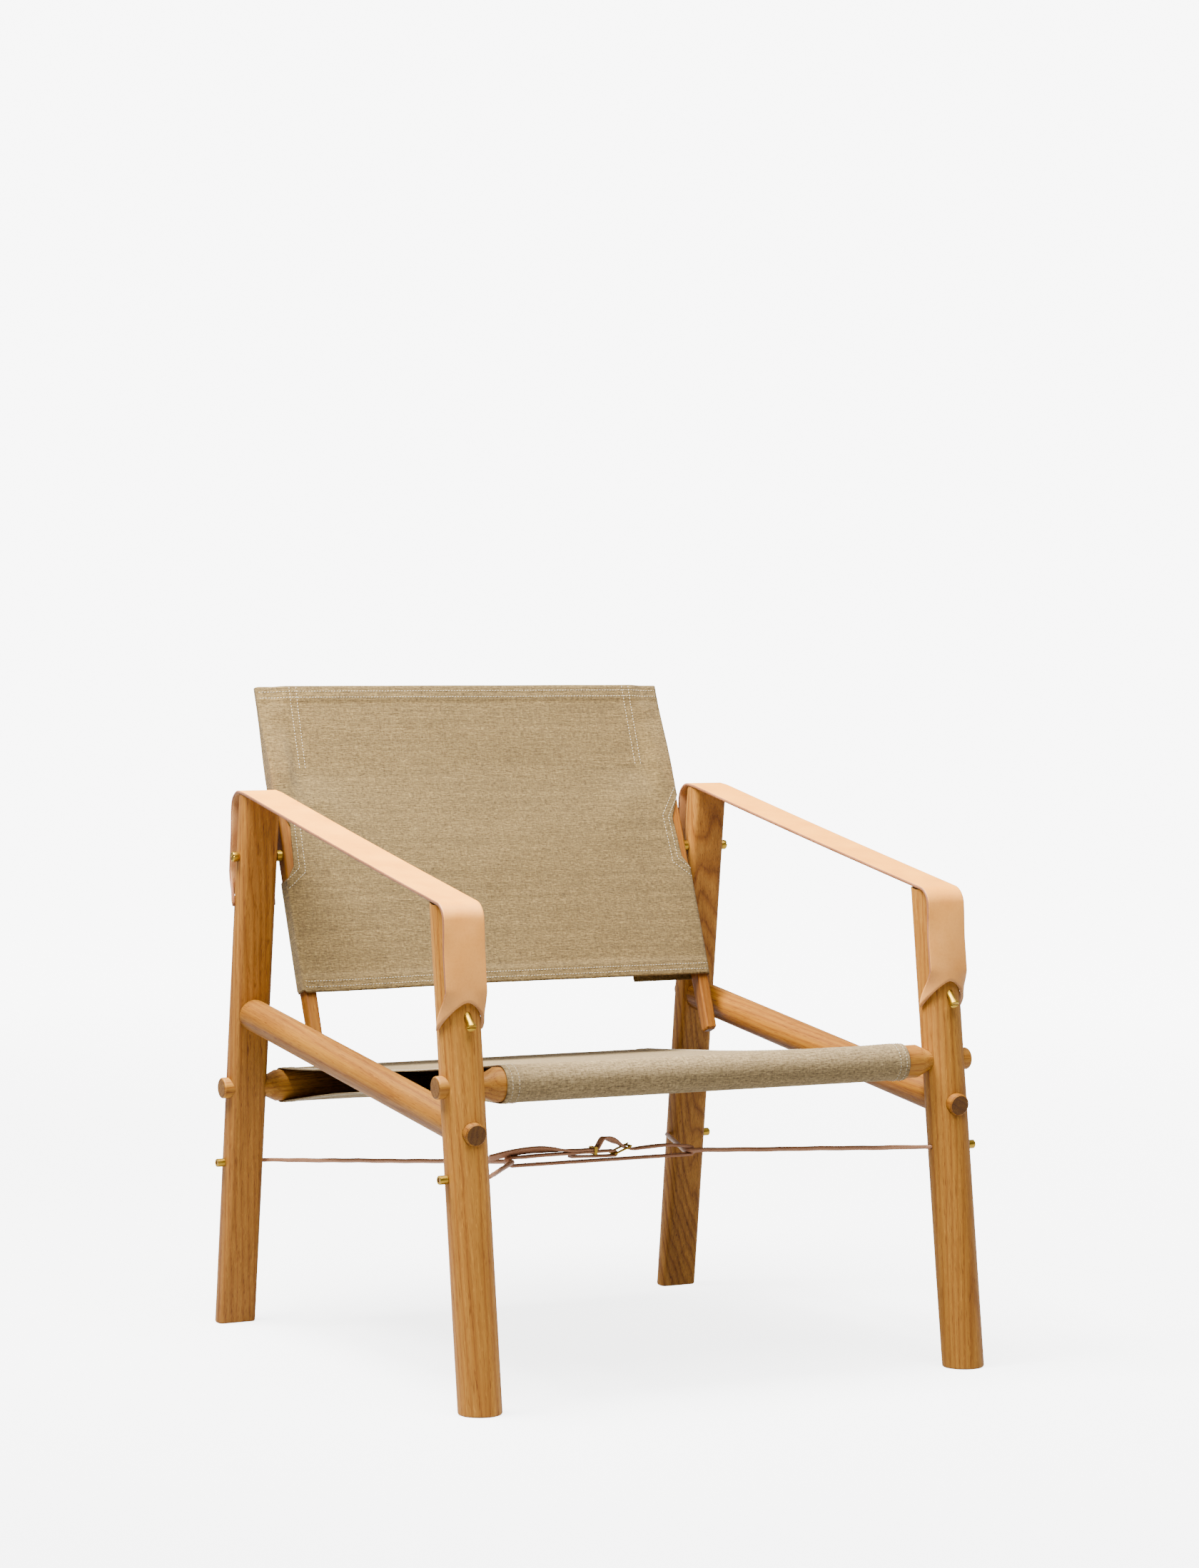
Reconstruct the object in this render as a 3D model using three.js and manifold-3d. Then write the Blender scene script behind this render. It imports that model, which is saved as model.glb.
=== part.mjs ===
// Knock-down lounge chair: oak frame, linen canvas seat and tilting back,
// leather arm straps, leather laces drawn tight by a buckled belt, brass fittings.
// Millimetres, +Z up, floor at z = 0, front of the chair toward -Y, symmetric about x = 0.
import * as THREE from 'three';
import { mergeVertices } from 'three/addons/utils/BufferGeometryUtils.js';
import Module from 'manifold-3d';

const wasm = await Module();
wasm.setup();

// Clearances
const fitGap = 0.3;
const clothGap = 0.4;
const overrun = 40;

// Stance of the four legs
const legSpacing = 584;
const footSpread = 640;
const legLean = THREE.MathUtils.degToRad(7.1);
const frontTopHeight = 514.8;
const rearTopHeight = 613.1;

// Leg section: a round with a planed flat on its inner side
const legRadius = 23;
const flatOffset = 13;
const flatEdgeRadius = 7;
const footFlatOffset = 9;
const footEdgeRadius = 3;
const footTaperHeight = 110;
const footRim = 2;
const topRounding = 12;

// Seat rails
const railRadius = 18;
const tenonRadius = 12;
const seatTenonStand = 8;
const railConeLength = 13;
const frontRailHeight = 330;
const rearRailHeight = 276;

// Side rails: below the seat rail's tenon in the front leg, above it in the rear leg
const sideRailRadius = 18;
const sideRailDrop = 43.1;
const sideRailRise = 86.2;
const sideTenonStand = 6;
const tenonRim = 1.5;

// Seat canvas
const seatCanvasInset = 48.5;
const canvasThickness = 1.2;

// Backrest
const pivotDrop = 70.6;
const backTilt = THREE.MathUtils.degToRad(20.8);
const spacerLength = 6.4;
const stileWidth = 16;
const stileDepth = 20;
const stileEndShare = 0.82;
const stileEdgeRadius = 3;
const stileUp = 196;
const stileDown = 231;
const backCanvasUp = 206;
const backCanvasDown = 164;
const backFlap = 92;
const notchDepth = 19;
const notchLow = -19;
const notchHigh = 36;
const notchLowRamp = 15;
const notchHighRamp = 30;

// Pivot hardware
const boltRadius = 3;
const boltHeadRadius = 5.7;
const boltHeadLength = 7.5;
const boltHeadEdge = 1.4;
const spacerRadius = 6.5;
const insertRadius = 4.6;
const insertLength = 11;
const boltReach = 9;

// Arm straps
const strapWidth = 47;
const strapThickness = 3.4;
const strapApexDrop = 102;
const strapTipDrop = 129;
const strapWrapDrop = 79;

// Studs below the strap ends
const studDrop = 118;
const studFootRadius = 4;
const studEndRadius = 5.4;
const studLength = 13;
const studTaperStart = 5.8;
const studShankLength = 15;
const slotWidth = 1.5;
const slotDepth = 1.6;
const studRim = 1.1;

// Laces and their ferrules
const laceRadius = 2.25;
const laceBoreRadius = 2.9;
const frontLaceDrop = 93;
const rearLaceDrop = 87;
const leftLaceReach = 121.8;
const rightLaceReach = 92.6;
const beltY = -58;
const laceMouthBend = 6;
const laceVertexBend = 26;
const laceMouthStand = 26;
const ferruleRadius = 4.8;
const ferruleLength = 9;
const ferruleBore = 2.65;
const laceEndInset = 1.2;

// Belt, buckle, prong and keeper
const beltWidth = 11;
const beltThickness = 2.4;
const beltLoopGap = 1.1;
const beltLoopShift = 0.4;
const buckleWire = 1.2;
const buckleWidth = 17;
const buckleBarX = 1.5;
const buckleBarRise = 2.5;
const buckleReach = 20.5;
const buckleRise = THREE.MathUtils.degToRad(21);
const prongRadius = 0.9;
const prongSlot = 3;
const foldSlotLength = 11;
const prongSlotLength = 9.4;
const prongSlotX = 12.8;
const prongSlotRise = 10.2;
const keeperX = -23;
const keeperLength = 3.6;
const keeperWall = 1.1;

// Facets
const legFacets = 26;
const roundFacets = 28;
const smallFacets = 16;
const laceFacets = 8;
const bendSteps = 6;

// Values that follow from the sizes above
const leanShare = Math.tan(legLean);
const legX = legSpacing / 2;
const seatCanvasWidth = legSpacing - 2 * seatCanvasInset;
const tenonBore = tenonRadius + fitGap;
const pivotHeight = rearTopHeight - pivotDrop;
const frontLaceHeight = frontRailHeight - frontLaceDrop;
const rearLaceHeight = rearRailHeight - rearLaceDrop;
const loopZ = frontLaceHeight - laceDrop();

// Distance of a leg's axis from the middle of the chair at a height
function axisY(height) {
  return footSpread / 2 - height * leanShare;
}

// Drop of the laces from the front holes to the belt
function laceDrop() {
  const front = axisY(frontLaceHeight);
  const rear = axisY(rearLaceHeight);
  return (frontLaceHeight - rearLaceHeight) * (front + beltY) / (front + rear);
}

// Materials
function finish(color, roughness, metalness = 0) {
  return new THREE.MeshStandardMaterial({ color, roughness, metalness });
}
const oak = finish('#b9803f', 0.55);
const canvas = finish('#b5a485', 0.9);
const leather = finish('#dcb089', 0.6);
const cordLeather = finish('#a4704e', 0.6);
const brass = finish('#c9973a', 0.28, 1);

// Solids: joins and cuts of closed meshes
function toSolid(geometry) {
  const bare = geometry.clone();
  bare.deleteAttribute('normal');
  bare.deleteAttribute('uv');
  const merged = mergeVertices(bare, 1e-4);
  const vertProperties = new Float32Array(merged.attributes.position.array);
  const triVerts = new Uint32Array(merged.index.array);
  return new wasm.Manifold(new wasm.Mesh({ numProp: 3, vertProperties, triVerts }));
}

function toGeometry(solid) {
  const mesh = solid.getMesh();
  const geometry = new THREE.BufferGeometry();
  geometry.setAttribute('position', new THREE.BufferAttribute(mesh.vertProperties, 3));
  geometry.setIndex(new THREE.BufferAttribute(mesh.triVerts, 1));
  geometry.computeVertexNormals();
  return geometry;
}

function cut(geometry, ...tools) {
  return toGeometry(tools.reduce((solid, tool) => solid.subtract(toSolid(tool)), toSolid(geometry)));
}

function join(...parts) {
  return toGeometry(parts.map(toSolid).reduce((whole, solid) => whole.add(solid)));
}

// A lathe turned about its own z axis, from points (radius, z) that start and end on the axis
function turned(points, facets) {
  const profile = points.map(([radius, z]) => new THREE.Vector2(radius, z));
  return new THREE.LatheGeometry(profile, facets).rotateX(Math.PI / 2);
}

function rod(radius, from, to, facets) {
  return turned([[0, from], [radius, from], [radius, to], [0, to]], facets);
}

// Turns a geometry's own z axis to a direction and moves it to a place
function aim(geometry, direction, place) {
  const turn = new THREE.Quaternion().setFromUnitVectors(
    new THREE.Vector3(0, 0, 1), direction.clone().normalize());
  return geometry.applyQuaternion(turn).translate(place.x, place.y, place.z);
}

// A closed skin through rings of points, capped as a fan or, on a ribbon, as a strip
function loft(rings, ribbon = false) {
  const count = rings[0].length;
  const positions = [];
  const index = [];
  rings.forEach((ring) => ring.forEach((p) => positions.push(p.x, p.y, p.z)));
  for (let i = 0; i < rings.length - 1; i += 1) {
    for (let j = 0; j < count; j += 1) {
      const a = i * count + j;
      const b = i * count + (j + 1) % count;
      index.push(a, b, b + count, a, b + count, a + count);
    }
  }
  const last = (rings.length - 1) * count;
  if (ribbon) {
    for (let j = 0; j < count / 2 - 1; j += 1) {
      const across = count - 1 - j;
      index.push(j, across, across - 1, j, across - 1, j + 1);
      index.push(last + j, last + across - 1, last + across, last + j, last + j + 1, last + across - 1);
    }
  } else {
    for (let j = 1; j < count - 1; j += 1) {
      index.push(0, j + 1, j, last, last + j, last + j + 1);
    }
  }
  const geometry = new THREE.BufferGeometry();
  geometry.setAttribute('position', new THREE.BufferAttribute(new Float32Array(positions), 3));
  geometry.setIndex(index);
  geometry.computeVertexNormals();
  return geometry;
}

// A round rod bent along points, each ring square to the path
function bentRod(points, radius, facets) {
  const rings = points.map((point, i) => {
    const before = points[Math.max(i - 1, 0)];
    const after = points[Math.min(i + 1, points.length - 1)];
    const along = after.clone().sub(before).normalize();
    const side = new THREE.Vector3(0, 0, 1).cross(along).normalize();
    const top = along.clone().cross(side);
    return Array.from({ length: facets }, (_, k) => {
      const turn = 2 * Math.PI * k / facets;
      return point.clone()
        .addScaledVector(side, radius * Math.cos(turn))
        .addScaledVector(top, radius * Math.sin(turn));
    });
  });
  return loft(rings);
}

const chair = new THREE.Group();

function place(name, geometry, material, parent = chair) {
  const mesh = new THREE.Mesh(geometry, material);
  mesh.name = name;
  parent.add(mesh);
  return mesh;
}

// Legs. Local frame: x across, +y toward the round outer face.
function legSection(inset, height) {
  const share = Math.min(height / footTaperHeight, 1);
  const flat = THREE.MathUtils.lerp(footFlatOffset, flatOffset, share) - inset;
  const edge = THREE.MathUtils.lerp(footEdgeRadius, flatEdgeRadius, share);
  const radius = legRadius - inset;
  const edgeX = Math.sqrt((radius - edge) ** 2 - (flat - edge) ** 2);
  const start = Math.atan2(edge - flat, edgeX);
  const points = [];
  for (let i = 0; i <= legFacets; i += 1) {
    const turn = start + (Math.PI - 2 * start) * i / legFacets;
    points.push(new THREE.Vector2(radius * Math.cos(turn), radius * Math.sin(turn)));
  }
  for (let i = 1; i <= bendSteps; i += 1) {
    const turn = Math.PI - start + (Math.PI / 2 + start) * i / bendSteps;
    points.push(new THREE.Vector2(-edgeX + edge * Math.cos(turn), edge - flat + edge * Math.sin(turn)));
  }
  for (let i = 0; i < bendSteps; i += 1) {
    const turn = -Math.PI / 2 + (Math.PI / 2 + start) * i / bendSteps;
    points.push(new THREE.Vector2(edgeX + edge * Math.cos(turn), edge - flat + edge * Math.sin(turn)));
  }
  return points;
}

// Side direction of a leg: -1 at the front, +1 at the rear
function legAxisDirection(side) {
  return new THREE.Vector3(0, -side * Math.sin(legLean), Math.cos(legLean));
}

function legOutward(side) {
  return new THREE.Vector3(0, side * Math.cos(legLean), Math.sin(legLean));
}

function legPoint(side, height) {
  return new THREE.Vector3(0, side * axisY(height), height);
}

function legBlank(side, topHeight) {
  const levels = [
    [0, footRim], [footRim * 0.3, footRim * 0.4], [footRim, 0],
    [footTaperHeight, 0], [topHeight + overrun, 0],
  ];
  const rings = levels.map(([height, inset]) => legSection(inset, height).map((p) => new THREE.Vector3(
    side * p.x, side * (axisY(height) + p.y / Math.cos(legLean)), height)));
  return loft(rings);
}

// Takes off the wood above the square top and outside its rounded outer edge
function topCutter(side, topHeight) {
  const shape = new THREE.Shape();
  const outer = legRadius;
  shape.moveTo(-legRadius - overrun, overrun * 2);
  shape.lineTo(-legRadius - overrun, 0);
  shape.lineTo(outer - topRounding, 0);
  shape.absarc(outer - topRounding, -topRounding, topRounding, Math.PI / 2, 0, true);
  shape.lineTo(outer + overrun, -topRounding);
  shape.lineTo(outer + overrun, overrun * 2);
  const block = new THREE.ExtrudeGeometry(shape, {
    depth: 2 * (legRadius + overrun), bevelEnabled: false, curveSegments: bendSteps,
  });
  block.translate(0, 0, -legRadius - overrun);
  const basis = new THREE.Matrix4().makeBasis(
    legOutward(side), legAxisDirection(side), new THREE.Vector3(side, 0, 0));
  const top = legPoint(side, topHeight);
  return block.applyMatrix4(basis).translate(0, top.y, top.z);
}

const acrossX = new THREE.Vector3(1, 0, 0);
const sideRailEnds = [-1, 1].map((side) => legPoint(side, railHeightAt(side)));
const railDirection = sideRailEnds[1].clone().sub(sideRailEnds[0]).normalize();

function boreX(radius, side, height) {
  const reach = legRadius + overrun;
  return aim(rod(radius, -reach, reach, roundFacets), acrossX, legPoint(side, height));
}

// Where the side rail's axis meets a leg's axis
function railHeightAt(side) {
  return side < 0 ? frontRailHeight - sideRailDrop : rearRailHeight + sideRailRise;
}

function studPlace(side, topHeight) {
  const foot = legPoint(side, topHeight).addScaledVector(legAxisDirection(side), -studDrop);
  return foot.addScaledVector(legOutward(side), legRadius);
}

function studDirection(side) {
  return new THREE.Vector3(0, side, -1).normalize();
}

function makeLeg(side) {
  const topHeight = side < 0 ? frontTopHeight : rearTopHeight;
  const railHeight = side < 0 ? frontRailHeight : rearRailHeight;
  const laceHeight = side < 0 ? frontLaceHeight : rearLaceHeight;
  const sideHole = aim(rod(tenonBore, -overrun * 1.5, overrun * 1.5, roundFacets),
    railDirection, legPoint(side, railHeightAt(side)));
  const studHole = aim(rod(studFootRadius + fitGap, -studShankLength - fitGap, overrun, smallFacets),
    studDirection(side), studPlace(side, topHeight));
  const tools = [
    topCutter(side, topHeight),
    boreX(tenonBore, side, railHeight),
    boreX(laceBoreRadius, side, laceHeight),
    sideHole, studHole,
  ];
  if (side > 0) {
    tools.push(boreX(boltRadius + fitGap, side, pivotHeight));
  }
  return cut(legBlank(side, topHeight), ...tools);
}

const legShapes = { front: makeLeg(-1), rear: makeLeg(1) };
for (const [end, shape] of Object.entries(legShapes)) {
  for (const [hand, x] of [['left', -legX], ['right', legX]]) {
    place(`leg_${end}_${hand}`, shape, oak).position.x = x;
  }
}

// Seat rails: turned rounds with coned shoulders and long tenons
function seatRail() {
  const end = legX + legRadius + seatTenonStand;
  const shoulder = legX - legRadius - fitGap;
  const full = shoulder - railConeLength;
  const half = [
    [railRadius, full], [tenonRadius, shoulder], [tenonRadius, end - tenonRim],
    [tenonRadius - tenonRim, end], [0, end],
  ];
  const other = half.map(([radius, x]) => [radius, -x]).reverse();
  return turned([...other, ...half], roundFacets).rotateY(Math.PI / 2);
}

const railPlaces = {
  front: legPoint(-1, frontRailHeight),
  rear: legPoint(1, rearRailHeight),
};
for (const [end, spot] of Object.entries(railPlaces)) {
  place(`seat_rail_${end}`, seatRail(), oak).position.copy(spot);
}

// Side rails: shoulders scribed to the legs' flats, tenons right through
function flatCutter(side) {
  const size = overrun * 6;
  const block = new THREE.BoxGeometry(size, size, size);
  const basis = new THREE.Matrix4().makeBasis(acrossX, legAxisDirection(side).cross(acrossX), legAxisDirection(side));
  const middle = legPoint(side, railHeightAt(side))
    .addScaledVector(legOutward(side), size / 2 - flatOffset - fitGap);
  return block.applyMatrix4(basis).translate(middle.x, middle.y, middle.z);
}

function sideRail() {
  const middle = sideRailEnds[0].clone().lerp(sideRailEnds[1], 0.5);
  const reach = footSpread / 2;
  const body = cut(aim(rod(sideRailRadius, -reach, reach, roundFacets), railDirection, middle),
    flatCutter(-1), flatCutter(1));
  const [frontEnd, rearEnd] = [-1, 1].map((side) => {
    const hub = legPoint(side, railHeightAt(side)).sub(middle).dot(railDirection);
    return hub + side * (legRadius + sideTenonStand);
  });
  const tenon = turned([
    [0, frontEnd], [tenonRadius - tenonRim, frontEnd], [tenonRadius, frontEnd + tenonRim],
    [tenonRadius, rearEnd - tenonRim], [tenonRadius - tenonRim, rearEnd], [0, rearEnd],
  ], roundFacets);
  return join(body, aim(tenon, railDirection, middle));
}

for (const [hand, x] of [['left', -legX], ['right', legX]]) {
  place(`side_rail_${hand}`, sideRail(), oak).position.x = x;
}

// Seat canvas: one closed band round both seat rails
function bandOutline(radius) {
  const front = new THREE.Vector2(railPlaces.front.y, railPlaces.front.z);
  const rear = new THREE.Vector2(railPlaces.rear.y, railPlaces.rear.z);
  const along = Math.atan2(rear.y - front.y, rear.x - front.x);
  const points = [];
  for (let i = 0; i <= roundFacets / 2; i += 1) {
    const turn = along + Math.PI / 2 + Math.PI * i / (roundFacets / 2);
    points.push(new THREE.Vector2(front.x + radius * Math.cos(turn), front.y + radius * Math.sin(turn)));
  }
  for (let i = 0; i <= roundFacets / 2; i += 1) {
    const turn = along - Math.PI / 2 + Math.PI * i / (roundFacets / 2);
    points.push(new THREE.Vector2(rear.x + radius * Math.cos(turn), rear.y + radius * Math.sin(turn)));
  }
  return points;
}

function seatCanvas() {
  const shape = new THREE.Shape(bandOutline(railRadius + clothGap + canvasThickness));
  shape.holes.push(new THREE.Path(bandOutline(railRadius + clothGap)));
  const band = new THREE.ExtrudeGeometry(shape, { depth: seatCanvasWidth, bevelEnabled: false });
  const basis = new THREE.Matrix4().makeBasis(
    new THREE.Vector3(0, 1, 0), new THREE.Vector3(0, 0, 1), acrossX);
  return band.applyMatrix4(basis).translate(-seatCanvasWidth / 2, 0, 0);
}
place('seat_canvas', seatCanvas(), canvas);

// Backrest: a frame of its own, hung on the pivot axis. Local z runs up the stiles.
const backrest = new THREE.Group();
backrest.position.copy(legPoint(1, pivotHeight));
backrest.rotation.x = -backTilt;
chair.add(backrest);

const legInnerX = legX - legRadius;
const stileOuterX = legInnerX - spacerLength - fitGap;
const stileX = stileOuterX - stileWidth / 2;

function roundedSection(width, depth, edge) {
  const points = [];
  const corners = [[1, 1, 0], [-1, 1, 1], [-1, -1, 2], [1, -1, 3]];
  for (const [signX, signY, quarter] of corners) {
    for (let i = 0; i <= 3; i += 1) {
      const turn = (quarter + i / 3) * Math.PI / 2;
      points.push(new THREE.Vector2(
        signX * (width / 2 - edge) + edge * Math.cos(turn),
        signY * (depth / 2 - edge) + edge * Math.sin(turn)));
    }
  }
  return points;
}

function stile() {
  const levels = [
    [-stileDown, stileEndShare * 0.7], [-stileDown + stileEdgeRadius, stileEndShare],
    [-stileDown / 3, 1], [stileUp / 2, 1],
    [stileUp - stileEdgeRadius, stileEndShare], [stileUp, stileEndShare * 0.7],
  ];
  const rings = levels.map(([z, share]) => roundedSection(
    stileWidth * share, stileDepth * share, stileEdgeRadius * share,
  ).map((p) => new THREE.Vector3(p.x, p.y, z)));
  const insertHole = aim(rod(insertRadius + fitGap, -insertLength - fitGap, overrun, smallFacets),
    acrossX, new THREE.Vector3(stileWidth / 2, 0, 0));
  return cut(loft(rings), insertHole);
}

for (const [hand, sign] of [['left', -1], ['right', 1]]) {
  const bar = place(`back_stile_${hand}`, stile(), oak, backrest);
  bar.position.x = sign * stileX;
  bar.rotation.z = sign < 0 ? Math.PI : 0;
}

// Threaded insert in each stile, and the bolt that carries the stile in the rear leg
function insert() {
  const sleeve = rod(insertRadius, -insertLength, 0, smallFacets);
  const bore = rod(boltRadius + fitGap, -boltReach - fitGap * 2, overrun, smallFacets);
  return cut(sleeve, bore).rotateY(Math.PI / 2);
}

function bolt() {
  const shankStart = -spacerLength - fitGap - boltReach;
  const headStart = 2 * legRadius + fitGap;
  const headEnd = headStart + boltHeadLength;
  const body = turned([
    [0, shankStart], [boltRadius, shankStart], [boltRadius, headStart],
    [boltHeadRadius, headStart], [boltHeadRadius, headEnd - boltHeadEdge],
    [boltHeadRadius - boltHeadEdge / 3, headEnd - boltHeadEdge / 3],
    [boltHeadRadius - boltHeadEdge, headEnd], [0, headEnd],
  ], smallFacets);
  const slot = new THREE.BoxGeometry(slotWidth, overrun, slotDepth * 2).translate(0, 0, headEnd);
  return cut(body, slot).rotateY(Math.PI / 2);
}

function spacer() {
  const ring = rod(spacerRadius, fitGap, spacerLength - fitGap, smallFacets);
  return cut(ring, rod(boltRadius + fitGap, -overrun, overrun, smallFacets)).rotateY(Math.PI / 2);
}

for (const [hand, sign] of [['left', -1], ['right', 1]]) {
  const turn = sign < 0 ? Math.PI : 0;
  const sleeve = place(`stile_insert_${hand}`, insert(), brass, backrest);
  sleeve.position.x = sign * stileOuterX;
  sleeve.rotation.z = turn;
  const screw = place(`pivot_bolt_${hand}`, bolt(), brass, backrest);
  screw.position.x = sign * legInnerX;
  screw.rotation.z = turn;
  const ring = place(`pivot_spacer_${hand}`, spacer(), brass);
  ring.position.set(sign * stileOuterX, axisY(pivotHeight), pivotHeight);
  ring.rotation.z = turn;
}

// Back canvas: front panel, turned round the stiles, with a flap behind each
function backCanvas() {
  const innerX = stileOuterX + clothGap;
  const outerX = innerX + canvasThickness;
  const innerY = stileDepth / 2 + clothGap;
  const outerY = innerY + canvasThickness;
  const flapX = outerX - backFlap;
  const outline = [
    [-flapX, outerY], [-outerX, outerY], [-outerX, -outerY], [outerX, -outerY], [outerX, outerY],
    [flapX, outerY], [flapX, innerY], [innerX, innerY], [innerX, -innerY],
    [-innerX, -innerY], [-innerX, innerY], [-flapX, innerY],
  ];
  const shape = new THREE.Shape(outline.map(([x, y]) => new THREE.Vector2(x, y)));
  const body = new THREE.ExtrudeGeometry(shape, {
    depth: backCanvasUp + backCanvasDown, bevelEnabled: false,
  });
  body.translate(0, 0, -backCanvasDown);
  const notch = new THREE.Shape([
    [overrun, notchLow - notchLowRamp], [0, notchLow - notchLowRamp], [-notchDepth, notchLow],
    [-notchDepth, notchHigh], [0, notchHigh + notchHighRamp], [overrun, notchHigh + notchHighRamp],
  ].map(([x, z]) => new THREE.Vector2(x, z)));
  const notches = [-1, 1].map((sign) => {
    const block = new THREE.ExtrudeGeometry(notch, { depth: overrun * 2, bevelEnabled: false });
    block.rotateX(Math.PI / 2).translate(0, overrun, 0);
    return block.rotateZ(sign < 0 ? Math.PI : 0).translate(sign * outerX, 0, 0);
  });
  return cut(body, ...notches);
}
place('back_canvas', backCanvas(), canvas, backrest);

// Arm straps. The path lies in the side plane: up the front leg's round face, over
// both tops and down the rear leg's round face. It bends at three places: the two
// rounded outer edges and, lightly, the inner edge of the rear leg's top.
function strapBends() {
  const top = (side) => legPoint(side, side < 0 ? frontTopHeight : rearTopHeight);
  const [front, rear] = [-1, 1].map((side) => top(side)
    .addScaledVector(legOutward(side), legRadius - topRounding)
    .addScaledVector(legAxisDirection(side), -topRounding));
  const corner = top(1).addScaledVector(legOutward(1), -flatOffset);
  const radius = topRounding + fitGap;
  const slope = Math.atan2(corner.z - front.z, corner.y - front.y);
  const tangent = slope + Math.acos((radius - fitGap) / corner.distanceTo(front));
  const rearTop = Math.PI / 2 + legLean;
  return [
    { hub: front, radius, from: Math.PI - legLean, to: tangent, steps: bendSteps * 2 },
    { hub: corner, radius: fitGap, from: tangent, to: rearTop, steps: 1 },
    { hub: rear, radius, from: rearTop, to: legLean, steps: bendSteps * 2 },
  ];
}

function strapRows() {
  return strapBends().flatMap(({ hub, radius, from, to, steps }) => Array.from({ length: steps + 1 }, (_, i) => {
    const turn = THREE.MathUtils.lerp(from, to, i / steps);
    const out = new THREE.Vector3(0, Math.cos(turn), Math.sin(turn));
    return { point: hub.clone().addScaledVector(out, radius), out };
  }));
}

// A row of the strap's end: flat at the start of the curl, wrapped round the leg at the tips
const strapAcross = 12;
const strapEndRows = 6;

function strapEndRow(side, share) {
  const topHeight = side < 0 ? frontTopHeight : rearTopHeight;
  return Array.from({ length: strapAcross + 1 }, (_, k) => {
    const across = 2 * k / strapAcross - 1;
    const arch = 1 - Math.sqrt(1 - across * across);
    const endDrop = THREE.MathUtils.lerp(strapApexDrop, strapTipDrop, arch);
    const drop = THREE.MathUtils.lerp(strapWrapDrop, endDrop, share);
    const curl = Math.max(drop - strapWrapDrop, 0) / (strapTipDrop - strapWrapDrop);
    const blend = curl * curl * (3 - 2 * curl);
    const turn = across * Math.PI / 2;
    const hub = legPoint(side, topHeight).addScaledVector(legAxisDirection(side), -drop);
    const reach = legRadius + fitGap;
    const flat = new THREE.Vector2(across * strapWidth / 2, reach);
    const wrap = new THREE.Vector2(reach * Math.sin(turn), reach * Math.cos(turn));
    const spot = flat.clone().lerp(wrap, blend);
    const out = new THREE.Vector2(0, 1).lerp(new THREE.Vector2(Math.sin(turn), Math.cos(turn)), blend).normalize();
    const lift = (amount) => hub.clone()
      .add(new THREE.Vector3(spot.x + out.x * amount, 0, 0))
      .addScaledVector(legOutward(side), spot.y + out.y * amount);
    return [lift(0), lift(strapThickness)];
  });
}

function armStrap() {
  const ring = (pairs) => [...pairs.map(([, outer]) => outer), ...pairs.map(([inner]) => inner).reverse()];
  const endRings = (side) => Array.from({ length: strapEndRows + 1 },
    (_, i) => ring(strapEndRow(side, i / strapEndRows)));
  const middle = strapRows().map(({ point, out }) => ring(Array.from({ length: strapAcross + 1 }, (_, k) => {
    const x = (k / strapAcross - 0.5) * strapWidth;
    const inner = point.clone().setX(x);
    return [inner, inner.clone().addScaledVector(out, strapThickness)];
  })));
  return loft([...endRings(-1).reverse(), ...middle, ...endRings(1)], true);
}

for (const [hand, x] of [['left', -legX], ['right', legX]]) {
  place(`arm_strap_${hand}`, armStrap(), leather).position.x = x;
}

// Brass studs let into the legs below the strap ends
function stud(side) {
  const body = turned([
    [0, -studShankLength], [studFootRadius, -studShankLength], [studFootRadius, studTaperStart],
    [studEndRadius - fitGap, studLength - studRim * 2], [studEndRadius, studLength - studRim],
    [studEndRadius - studRim / 2, studLength], [0, studLength],
  ], smallFacets);
  const slot = new THREE.BoxGeometry(overrun, slotWidth, slotDepth * 2).translate(0, 0, studLength);
  return aim(cut(body, slot), studDirection(side), new THREE.Vector3());
}

for (const [end, side] of [['front', -1], ['rear', 1]]) {
  const spot = studPlace(side, side < 0 ? frontTopHeight : rearTopHeight);
  for (const [hand, x] of [['left', -legX], ['right', legX]]) {
    place(`strap_stud_${end}_${hand}`, stud(side), brass).position.set(x, spot.y, spot.z);
  }
}

// Laces: straight through each leg, round a small bend, then to the belt's loop and back
function bend(from, corner, to, radius) {
  const a = from.clone().sub(corner).normalize();
  const b = to.clone().sub(corner).normalize();
  const half = a.angleTo(b) / 2;
  const setback = radius / Math.tan(half);
  const hub = corner.clone().addScaledVector(a.clone().add(b).normalize(), radius / Math.sin(half));
  const start = corner.clone().addScaledVector(a, setback).sub(hub);
  const end = corner.clone().addScaledVector(b, setback).sub(hub);
  const sweepAngle = start.angleTo(end);
  return Array.from({ length: bendSteps + 1 }, (_, i) => {
    const share = i / bendSteps;
    const first = Math.sin((1 - share) * sweepAngle) / Math.sin(sweepAngle);
    const second = Math.sin(share * sweepAngle) / Math.sin(sweepAngle);
    return hub.clone().addScaledVector(start, first).addScaledVector(end, second);
  });
}

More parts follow.
